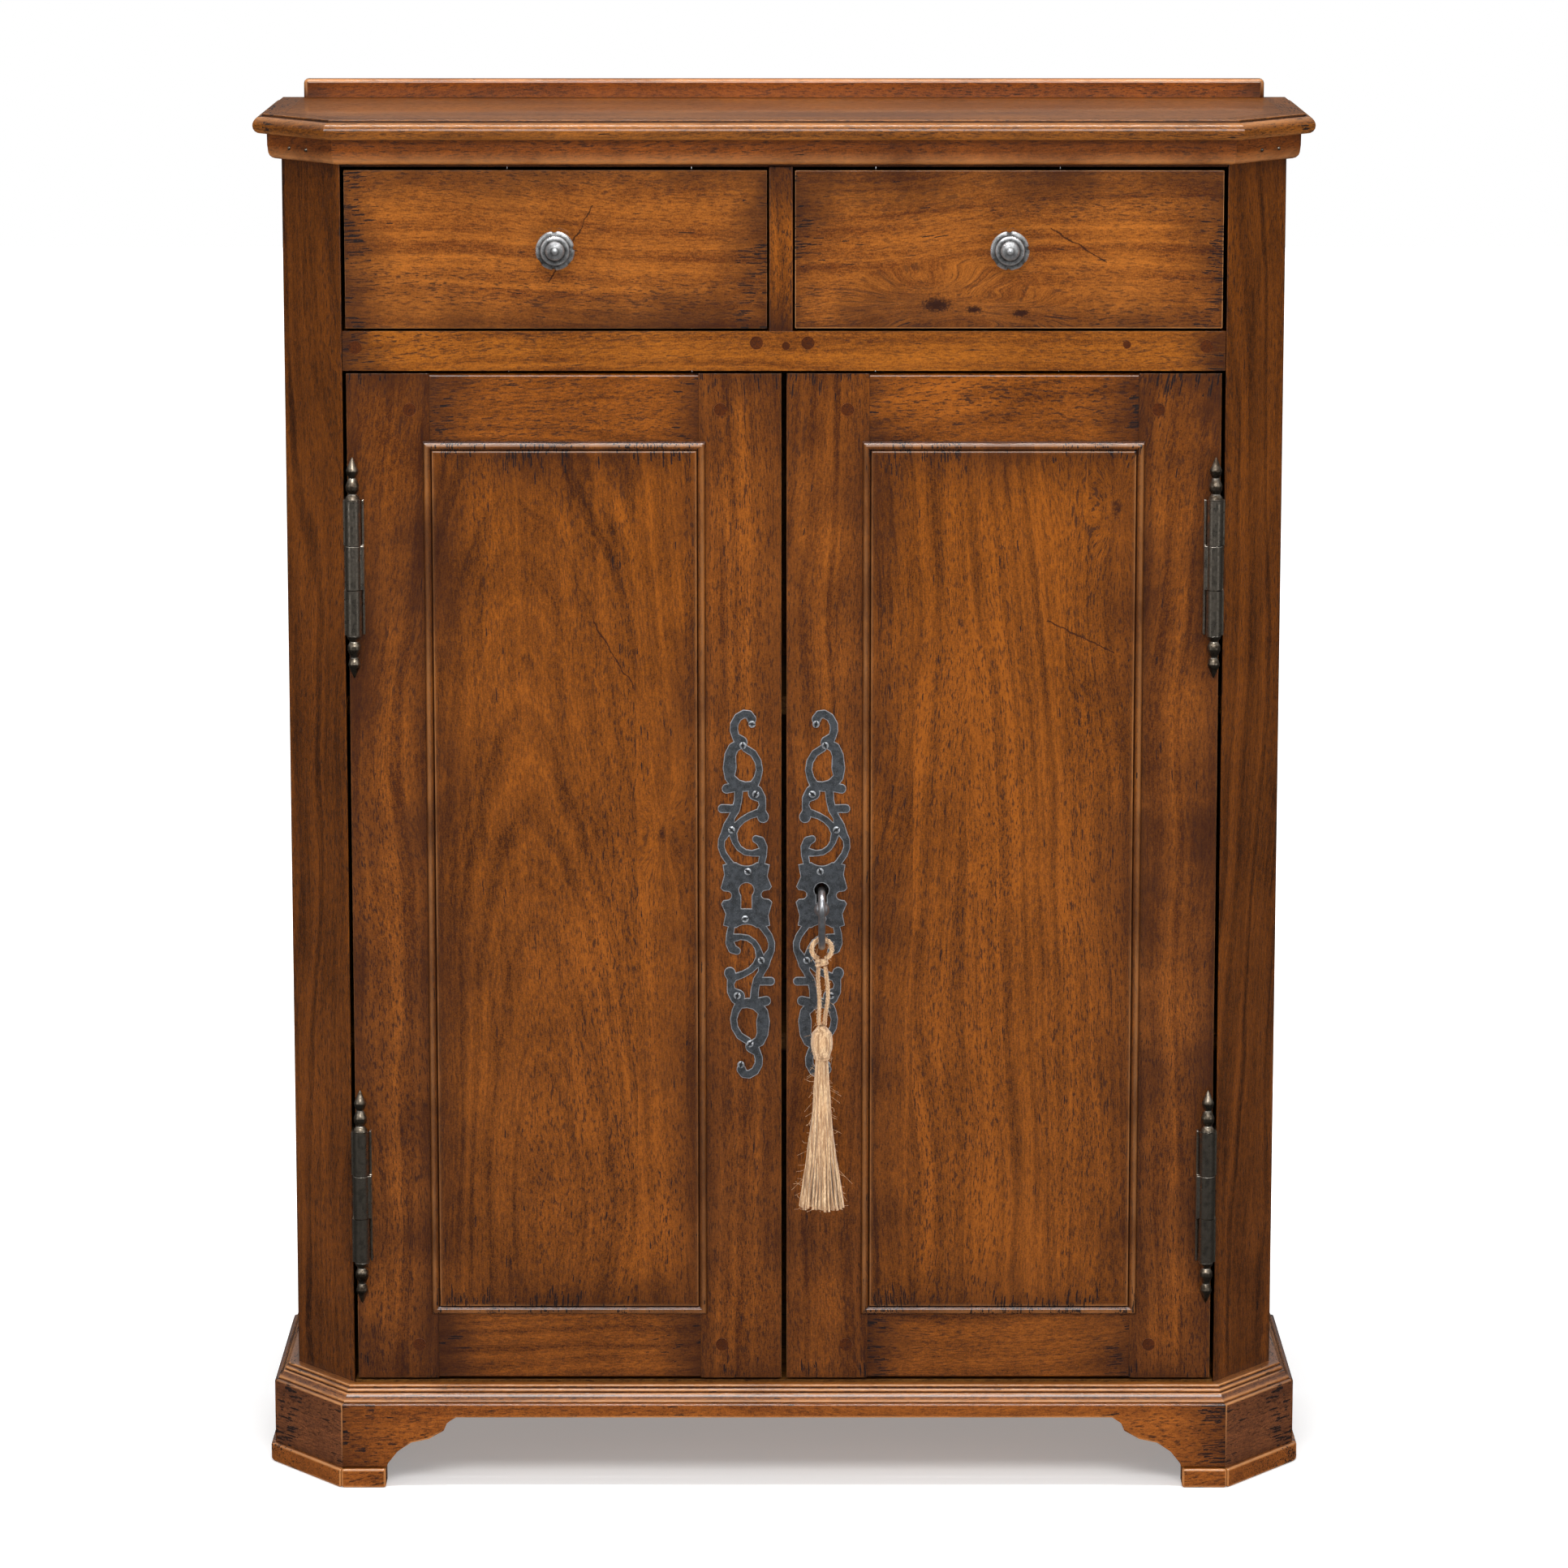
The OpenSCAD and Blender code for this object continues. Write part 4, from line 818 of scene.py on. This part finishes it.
# ---- Drawers ----
# Solid walnut fronts with a pale box behind each: two grooved sides, a back, and a thin
# bottom slid into the grooves.
for side, seed in (("left", 50.0), ("right", 55.0)):
    low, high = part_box(side + "_drawer_front")
    middle = (low.x + high.x) / 2
    if side == "left":
        look = dict(cracks=[((middle + 0.032, front_y, high.z - 0.031),
                             (middle - 0.006, front_y, low.z + 0.040), 0.0009)])
    else:
        look = dict(cracks=[((middle + 0.036, front_y, high.z - 0.050),
                             (middle + 0.082, front_y, high.z - 0.078), 0.0010)],
                    knots=[((middle - 0.062, front_y, low.z + 0.020), 0.010),
                           ((middle - 0.030, front_y, low.z + 0.016), 0.005),
                           ((middle + 0.010, front_y, low.z + 0.013), 0.006)])
    board(side + "_drawer_front", side + "_drawer", "walnut_front", "-y-x+x-z+z", 0.003,
          grain="x", face="xz", light=rgb(176, 103, 30), dark=rgb(86, 40, 9), seed=seed,
          figure=0.9, rubbing=0.8, ink=1.6, **look)
    for part, grain in (("sides", "y"), ("back", "x"), ("bottom", "x")):
        node = side + "_drawer_" + part
        board(node, side + "_drawer", "walnut_inside", grain=grain, face="", seed=seed + 1,
              **inside_look)

# ---- Doors ----
# Framed doors, each with two stiles, two rails and a fielded panel. The panel's bead laps over
# the frame, mitred at its corners, with a groove between it and the flat field.
door_light = rgb(148, 81, 15)
door_dark = rgb(62, 27, 4)
panel_light = rgb(140, 75, 8)
panel_dark = rgb(52, 23, 3)


def panel_mesh(node):
    """A fielded panel: a plate, a bead with rounded sides, a groove and a flat field."""
    low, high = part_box(node)
    lap = 0.006
    crown = 0.0047
    bm = bmesh.new()
    wear_grime_and_light = bm.verts.layers.float.new("wear_grime_and_light")
    corners = [(low.x, low.z), (high.x, low.z), (high.x, high.z), (low.x, high.z)]
    face = bm.faces.new([bm.verts.new((x, front_y, z)) for x, z in corners])
    face.normal_update()
    if face.normal.y > 0:
        bmesh.ops.reverse_faces(bm, faces=[face])
    outline = (  # inset, proud of the door's face, and wear and painted light (paler above 0: wear and painted highlight; darker below 0: grime and painted shade)
        (0.0002, 0.0010, -0.8), (0.0007, 0.0026, 0.0), (0.0012, 0.0040, 0.35),
        (0.0015, crown, 0.3), (0.0014, 0.0045, 0.1), (0.0012, 0.0034, 0.0),
        (0.0006, 0.0020, -0.9), (0.0005, 0.0014, -1.0), (0.0003, 0.0020, -0.4),
        (0.0006, 0.0027, 0.6), (0.0010, 0.0030, 0.1), (0.0020, 0.0031, 0.0))
    proud = 0.0
    for inset, height, wear_and_light_amount in outline:
        bmesh.ops.inset_region(bm, faces=[face], thickness=inset, depth=0.0,
                               use_even_offset=True, use_boundary=True)
        bmesh.ops.translate(bm, verts=face.verts[:], vec=(0, proud - height, 0))
        proud = height
        for vert in face.verts:
            vert[wear_grime_and_light] = wear_and_light_amount
    rim = [e for e in bm.edges if e.is_boundary]
    behind = bmesh.ops.extrude_edge_only(bm, edges=rim)
    new = [v for v in behind["geom"] if isinstance(v, bmesh.types.BMVert)]
    bmesh.ops.translate(bm, verts=new, vec=(0, 0.0002, 0))
    inner_ring = bmesh.ops.extrude_edge_only(bm, edges=[e for e in bm.edges if e.is_boundary])
    new = [v for v in inner_ring["geom"] if isinstance(v, bmesh.types.BMVert)]
    centre = (low + high) / 2
    for vert in new:
        vert.co.x -= math.copysign(lap, vert.co.x - centre.x)
        vert.co.z -= math.copysign(lap, vert.co.z - centre.z)
    back = bmesh.ops.extrude_edge_only(bm, edges=[e for e in bm.edges if e.is_boundary])
    new = [v for v in back["geom"] if isinstance(v, bmesh.types.BMVert)]
    bmesh.ops.translate(bm, verts=new, vec=(0, high.y - front_y - 0.0002, 0))
    bmesh.ops.holes_fill(bm, edges=[e for e in bm.edges if e.is_boundary], sides=0)
    bmesh.ops.recalc_face_normals(bm, faces=bm.faces)
    for edge in bm.edges:
        if len(edge.link_faces) == 2 and edge.calc_face_angle() > math.radians(60):
            edge.smooth = False
        elif abs(edge.verts[0].co.x - edge.verts[1].co.x) > 1e-5 and \
                abs(edge.verts[0].co.z - edge.verts[1].co.z) > 1e-5:
            edge.smooth = False
    return bm


for side, sign, seed in (("left", -1, 60.0), ("right", 1, 70.0)):
    body = side + "_door"
    low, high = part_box(body + "_panel")
    hinge_side, meeting_side = ("-x", "+x") if side == "left" else ("+x", "-x")
    board(body + "_hinge_stile", body, "walnut_front", hinge_side + "-y-z+z+y", 0.003,
          light=door_light, dark=door_dark, seed=seed, figure=1.0, rubbing=0.8, face="xz",
          ink=0.8)
    board(body + "_meeting_stile", body, "walnut_front", meeting_side + "-y-z+z+y", 0.003,
          light=door_light, dark=door_dark, seed=seed + 1, figure=1.0, rubbing=0.6, face="xz",
          ink=0.8)
    board(body + "_rails", body, "walnut_front", "-y-z+z+y", 0.003, light=door_light,
          dark=door_dark, seed=seed + 2, figure=0.9, rubbing=0.8, face="x", grain="x", ink=1.2)
    if side == "left":
        look = dict(knots=[((-0.106, front_y, 0.583), 0.006)],
                    seams=[(-0.128, 0.9, 0.16), (-0.086, 0.6, -0.12)], heart=(-0.225, front_y + 0.015, 0.20),
                    cracks=[((-0.165, front_y, 0.770), (-0.130, front_y, 0.712), 0.0009)])
    else:
        look = dict(knots=[((0.287, front_y, 0.868), 0.007)],
                    seams=[(0.112, 0.8, 0.05), (0.158, 1.3, 0.10), (0.243, 0.7, -0.10)],
                    cracks=[((0.228, front_y, 0.770), (0.285, front_y, 0.742), 0.0009)])
    finish_piece(body + "_panel_wood", panel_mesh(body + "_panel"),
                 walnut(body + "_panel", low, high, light=panel_light, dark=panel_dark,
                        seed=seed + 3, figure=1.15, rubbing=0.68, face="xz", ink=1.6, **look),
                 body, [body + "_panel"])

# ---- Handles, hinges and locks ----
# Cast and forged iron and pewter, blackened, then rubbed bright on every edge that a hand or a
# cloth reaches. The bright edges are partly a painted highlight, and the darkened hollows partly painted shade.


def old_metal_group():
    """Blackened metal: speckled, blotched, dark in its hollows and bright on its edges."""
    tree = bpy.data.node_groups.new("Old Metal", "ShaderNodeTree")
    for name, kind in (("Position", "Vector"), ("Metal", "Color"), ("Tarnish", "Color"),
                       ("Bright", "Color"), ("Amount", "Float"), ("Flecks", "Float"),
                       ("Wear Grime And Light", "Float")):
        tree.interface.new_socket(name, in_out="INPUT", socket_type="NodeSocket" + kind)
    for name, kind in (("Color", "Color"), ("Roughness", "Float"), ("Height", "Float")):
        tree.interface.new_socket(name, in_out="OUTPUT", socket_type="NodeSocket" + kind)
    given = tree.nodes.new("NodeGroupInput").outputs
    fine = grain_noise(tree, given["Position"], (1500, 1500, 1500), 3, 0.65)
    blotch = grain_noise(tree, given["Position"], (150, 150, 150), 4, 0.65)
    dark = calc(tree, "MULTIPLY", spread(tree, blotch, 0.36, 0.66), given["Amount"])
    colour = blend_colour(tree, dark, given["Metal"], given["Tarnish"])
    flecks = calc(tree, "MULTIPLY", spread(tree, fine, 0.56, 0.74), given["Flecks"])
    colour = blend_colour(tree, flecks, colour, given["Bright"])
    # Edges are made bright: rubbed wear, and a painted highlight along them.
    wear_and_light_amount = calc(tree, "MAXIMUM", given["Wear Grime And Light"], 0.0)
    wear_and_light_amount = calc(tree, "MULTIPLY", wear_and_light_amount, spread(tree, blotch, 0.30, 0.60, 1.0, 0.45))
    colour = blend_colour(tree, wear_and_light_amount, colour, given["Bright"])
    # Hollows and the places where parts meet are made darker: grime, and painted shade.
    grime_and_shade = calc(tree, "MAXIMUM", calc(tree, "MULTIPLY", given["Wear Grime And Light"], -1.0), 0.0)
    colour = blend_colour(tree, calc(tree, "MULTIPLY", grime_and_shade, 0.85), colour,
                          rgb(24, 19, 15))
    rough = calc(tree, "MULTIPLY_ADD", dark, 0.22, 0.30)
    rough = calc(tree, "MULTIPLY_ADD", wear_and_light_amount, -0.10, rough)
    rough = calc(tree, "MULTIPLY_ADD", grime_and_shade, 0.3, rough)
    height = calc(tree, "MULTIPLY_ADD", blotch, 0.8, calc(tree, "MULTIPLY", fine, 0.5))
    result = tree.nodes.new("NodeGroupOutput").inputs
    tree.links.new(colour, result["Color"])
    tree.links.new(rough, result["Roughness"])
    tree.links.new(height, result["Height"])
    return tree


old_metal = old_metal_group()


def metal(name, plain, tarnish, bright, amount=0.7, metallic=1.0, bump=0.25, flecks=0.2):
    made, tree, shader = material(name, Metallic=metallic, Specular_IOR_Level=0.5)
    place = put(tree, "TexCoord").outputs["Object"]
    wear_grime_and_light = put(tree, "Attribute", attribute_name="wear_grime_and_light").outputs["Fac"]
    surface = put(tree, "Group", {"Position": place, "Metal": plain, "Tarnish": tarnish,
                                  "Bright": bright, "Amount": amount, "Flecks": flecks,
                                  "Wear Grime And Light": wear_grime_and_light},
                  node_tree=old_metal).outputs
    tree.links.new(surface["Color"], shader.inputs["Base Color"])
    tree.links.new(surface["Roughness"], shader.inputs["Roughness"])
    wiring = put(tree, "Bump", {"Height": surface["Height"], "Strength": bump,
                                "Distance": 0.0004})
    tree.links.new(wiring.outputs[0], shader.inputs["Normal"])
    return made


def metal_copy(node, ease, rim=0.0):
    """A CAD part with every sharp edge rounded and made bright, as rubbed wear and as a painted highlight, over
    the width of the rim.
    """
    bm = bmesh.new()
    bm.from_mesh(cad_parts[node].data)
    bmesh.ops.remove_doubles(bm, verts=bm.verts, dist=0.00001)
    bmesh.ops.recalc_face_normals(bm, faces=bm.faces)
    bmesh.ops.dissolve_limit(bm, angle_limit=math.radians(1), verts=bm.verts, edges=bm.edges)
    wear_grime_and_light = bm.verts.layers.float.new("wear_grime_and_light")
    sharp = [e for e in bm.edges if len(e.link_faces) == 2
             and e.calc_face_angle() > math.radians(38)]
    made = bmesh.ops.bevel(bm, geom=sharp, offset=ease, offset_type="OFFSET", affect="EDGES",
                           segments=2, profile=0.5, material=-1, clamp_overlap=True)
    rounded = set(made["faces"])
    # Rounded edges are made bright: rubbed wear, and a painted highlight.
    for vert in made["verts"]:
        vert[wear_grime_and_light] = 1.0 if rim or all(f in rounded for f in vert.link_faces) else 0.35
    if rim:
        plain = [f for f in bm.faces if f not in rounded and f.normal.y < -0.9]
        bmesh.ops.inset_region(bm, faces=plain, thickness=rim, depth=0.0,
                               use_even_offset=True, use_boundary=True)
        for face in plain:
            for vert in face.verts:
                vert[wear_grime_and_light] = 0.0
    bmesh.ops.recalc_face_normals(bm, faces=bm.faces)
    return bm


escutcheon_iron = metal("escutcheon_iron", rgb(80, 84, 89), rgb(48, 50, 53),
                        rgb(214, 217, 221), 0.9, 0.5, flecks=0.25)
hinge_iron = metal("hinge_iron", rgb(146, 134, 118), rgb(70, 59, 48), rgb(232, 224, 210), 1.0,
                   1.0, bump=0.07, flecks=0.05)
knob_pewter = metal("knob_pewter", rgb(160, 160, 160), rgb(70, 70, 70), rgb(232, 234, 236),
                    0.9, 0.85, bump=0.6)
key_steel = metal("key_steel", rgb(176, 178, 182), rgb(104, 106, 110), rgb(236, 238, 240),
                  0.5, 0.9)
lock_steel = metal("lock_steel_plain", rgb(120, 118, 114), rgb(74, 70, 64),
                   rgb(190, 188, 184), 0.6)
bolt_brass = metal("bolt_brass", rgb(168, 128, 62), rgb(92, 68, 34), rgb(222, 190, 118), 0.6)

# Hinges: a leaf on the post with two knuckles, one on the door with the middle knuckle, and a
# pin through them with a turned finial at each end.
for node, body, ease in (("hinge_frame_leaves", "root", 0.0005),
                         ("hinge_pins", "root", 0.0005),
                         ("left_hinge_leaves", "left_door", 0.0005),
                         ("right_hinge_leaves", "right_door", 0.0005)):
    bm = metal_copy(node, ease)
    finish_piece(node + "_iron", bm, hinge_iron, body, [node])

# Escutcheons: pierced plates, each held by ten slotted nails.
nail_places = ((5, 151), (-3, 132.3), (8.1, 89.4), (-12.9, 57.9), (1.2, 21))
nail_radius = 0.0031
for side, sign in (("left", 1), ("right", -1)):
    node = side + "_escutcheon"
    low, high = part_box(node)
    centre = (low + high) / 2
    finish_piece(node + "_iron", metal_copy(node, 0.0006, 0.0007), escutcheon_iron, side + "_door",
                 [node])
    nails = bmesh.new()
    wear_grime_and_light = nails.verts.layers.float.new("wear_grime_and_light")
    draw = random.Random(side)
    for x, z in nail_places + tuple((-x, -z) for x, z in nail_places):
        middle = Vector((centre.x + sign * x / 1000, low.y, centre.z + z / 1000))
        slot_way = draw.uniform(0, math.pi)
        rings = []
        for radius, proud in ((1.0, -0.0002), (1.0, 0.0004), (0.86, 0.0010), (0.5, 0.0014),
                              (0.16, 0.0015)):
            ring = []
            for k in range(20):
                a = 2 * math.pi * k / 20
                off_slot = abs(radius * math.sin(a - slot_way)) * nail_radius
                sunk = 0.0009 if off_slot < 0.0005 and radius < 1.0 else 0.0
                vert = nails.verts.new(middle + Vector((
                    radius * nail_radius * math.cos(a), -proud + sunk,
                    radius * nail_radius * math.sin(a))))
                # The slot and the foot of each nail are darkened, as grime and painted shade; the rim is paled,
                # as wear and a painted highlight.
                vert[wear_grime_and_light] = -1.0 if sunk or proud < 0 else (0.9 if radius > 0.8 else 0.3)
                ring.append(vert)
            rings.append(ring)
        for inner, outer in zip(rings[1:], rings):
            for k in range(20):
                nails.faces.new((outer[k], outer[(k + 1) % 20], inner[(k + 1) % 20], inner[k]))
        nails.faces.new(rings[-1])
        nails.faces.new(list(reversed(rings[0])))
    bmesh.ops.recalc_face_normals(nails, faces=nails.faces)
    finish_piece(side + "_escutcheon_nails", nails, escutcheon_iron, side + "_door")

# Nails in the cants of the cornice: two in each, with small domed heads.
nails = bmesh.new()
wear_grime_and_light = nails.verts.layers.float.new("wear_grime_and_light")
for mirror in (-1, 1):
    for share in (0.37, 0.66):
        out = Vector((cant_depth, -cant_width, 0)).normalized() * 0.0116
        place = Vector((post_edge + cant_width * share, front_y + cant_depth * share,
                        (cornice_low.z + cornice_high.z) / 2)) + out
        head = bmesh.ops.create_uvsphere(nails, u_segments=12, v_segments=8, radius=0.0017)
        bmesh.ops.translate(nails, verts=head["verts"],
                            vec=(place.x * mirror, place.y, place.z))
        for vert in head["verts"]:
            vert[wear_grime_and_light] = 0.25
finish_piece("cornice_nails", nails, hinge_iron, "root")

# Knobs: cast, with a notched rim, a stepped ring, and a hammered dome with a nipple.
knob_profile = (  # radius, height off the drawer front, and wear and painted light (paler above 0: wear and painted highlight; darker below 0: grime and painted shade), all in millimetres but the last
    (0.0, 0.0, 0.0), (9.0, 0.0, -0.6), (9.0, 1.6, 0.2), (5.4, 3.4, -0.3), (4.8, 8.0, 0.0),
    (7.0, 12.0, -0.2), (13.0, 14.0, 0.0), (16.2, 15.0, 0.3), (16.8, 15.9, 0.9),
    (16.4, 17.0, 0.8), (15.2, 17.9, 0.3), (13.4, 18.1, -0.6), (12.7, 18.3, -0.9),
    (12.5, 19.4, 0.2), (12.1, 20.5, 1.0), (11.2, 21.0, 0.5), (9.6, 21.1, -0.5),
    (8.6, 21.2, -1.0), (8.2, 22.0, -0.2), (7.6, 23.4, 0.7), (6.2, 24.7, 0.4), (4.4, 25.3, 0.1),
    (3.2, 25.5, -0.6), (2.6, 26.0, 0.2), (1.5, 26.9, 0.9), (0.0, 27.2, 0.6))
notches = ((92, 9, 1.7), (8, 8, 1.5), (216, 14, 1.0), (266, 7, 1.2), (318, 10, 0.6))
for side in ("left", "right"):
    low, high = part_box(side + "_drawer_knob")
    middle = Vector(((low.x + high.x) / 2, front_y, (low.z + high.z) / 2))
    knob = bmesh.new()
    wear_grime_and_light = knob.verts.layers.float.new("wear_grime_and_light")
    rings = []
    steps = 96
    for radius, proud, wear_and_light_amount in knob_profile:
        if radius == 0.0:
            vert = knob.verts.new(middle + Vector((0, -proud / 1000, 0)))
            vert[wear_grime_and_light] = wear_and_light_amount
            rings.append([vert] * steps)
            continue
        ring = []
        for k in range(steps):
            degrees = 360 * k / steps
            cut = 0.0
            if 12.6 < radius and proud > 13:
                for where, wide, deep in notches:
                    away = abs((degrees - where + 180) % 360 - 180)
                    cut = max(cut, deep * max(0.0, 1 - away / wide))
            a = math.radians(degrees)
            vert = knob.verts.new(middle + Vector((
                (radius - cut) * math.cos(a), -proud, (radius - cut) * math.sin(a))) / 1000)
            vert[wear_grime_and_light] = wear_and_light_amount if cut < 0.3 else -0.5
            ring.append(vert)
        rings.append(ring)
    for near, far_ring in zip(rings, rings[1:]):
        for k in range(steps):
            corners = [near[k], near[(k + 1) % steps], far_ring[(k + 1) % steps], far_ring[k]]
            knob.faces.new([v for i, v in enumerate(corners) if v not in corners[:i]])
    bmesh.ops.create_cone(knob, cap_ends=True, segments=16, radius1=0.003, radius2=0.003,
                          depth=0.0138, matrix=Matrix.Translation(middle + Vector((0, 0.0069, 0)))
                          @ Matrix.Rotation(math.pi / 2, 4, "X"))
    bmesh.ops.recalc_face_normals(knob, faces=knob.faces)
    finish_piece(side + "_knob_pewter", knob, knob_pewter, side + "_drawer",
                 [side + "_drawer_knob"], weighted=False)

# Key, lock and bolts.
finish_piece("key_steel", metal_copy("key", 0.0004), key_steel, "key", ["key"])
for node, body, finish, slot in (
        ("lock_case", "right_door", lock_steel, "lock_steel"),
        ("lock_bolt", "lock_bolt", lock_steel, "lock_steel"),
        ("bolt_keeper", "left_door", lock_steel, "lock_steel"),
        ("bolt_plates", "left_door", lock_steel, "lock_steel"),
        ("upper_bolt", "upper_bolt", bolt_brass, "brass_bolt"),
        ("lower_bolt", "lower_bolt", bolt_brass, "brass_bolt")):
    finish_piece(node + "_metal", metal_copy(node, 0.0004), finish, body, [node])

# ---- Room ----
# A white sweep that glows, weakly near the cabinet and fully far from it, so that it fades into a white room; a
# large soft light over and in front of the cabinet, and weaker ones from both sides. The room is bright above
# and dim below.
floor_finish, tree, shader = material("floor_paint_and_glow", Roughness=0.9, Specular_IOR_Level=0.0,
                                      Base_Color=(0.90, 0.90, 0.90, 1.0),
                                      Emission_Color=(1.0, 1.0, 1.0, 1.0))
# The floor's own glow: weakest near the middle, at full strength beyond 1.2 m.
place = put(tree, "TexCoord").outputs["Object"]
away = put(tree, "VectorMath", {0: place}, operation="LENGTH").outputs["Value"]
tree.links.new(spread(tree, away, 0.45, 1.2, 0.27, 1.0), shader.inputs["Emission Strength"])
sweep = bmesh.new()
bmesh.ops.create_grid(sweep, x_segments=1, y_segments=1, size=12)
floor = bpy.data.objects.new("floor", bpy.data.meshes.new("floor"))
sweep.to_mesh(floor.data)
sweep.free()
floor.data.materials.append(floor_finish)
floor.visible_glossy = False
scene.collection.objects.link(floor)


def soft_light(name, place, aim, size, power):
    lamp = bpy.data.lights.new(name, "AREA")
    lamp.shape = "RECTANGLE"
    lamp.size, lamp.size_y = size
    lamp.energy = power
    holder = bpy.data.objects.new(name, lamp)
    holder.location = place
    turn = (Vector(aim) - Vector(place)).to_track_quat("-Z", "Y")
    holder.rotation_euler = turn.to_euler()
    scene.collection.objects.link(holder)


soft_light("light_front", (0, -3.0, 2.9), (0, 0, 0.6), (2.0, 1.1), 68)
soft_light("light_over", (0, -0.4, 3.0), (0, 0.1, 1.0), (2.6, 0.16), 50)
soft_light("light_left", (-3.2, -2.2, 1.6), (0, 0, 0.6), (1.2, 2.2), 13)
soft_light("light_right", (3.2, -2.4, 1.6), (0, 0, 0.6), (1.2, 2.2), 12)
world = bpy.data.worlds.new("room")
world.use_nodes = True
tree = world.node_tree
sky = put(tree, "TexCoord").outputs["Generated"]
up = put(tree, "SeparateXYZ", {0: sky}).outputs[2]
dim = spread(tree, up, -0.05, 0.7, 0.03, 0.6)
seen = put(tree, "LightPath").outputs["Is Camera Ray"]
strength = calc(tree, "MAXIMUM", dim, seen)
room = tree.nodes["Background"]
room.inputs["Color"].default_value = (1, 1, 1, 1)
tree.links.new(strength, room.inputs["Strength"])
scene.world = world
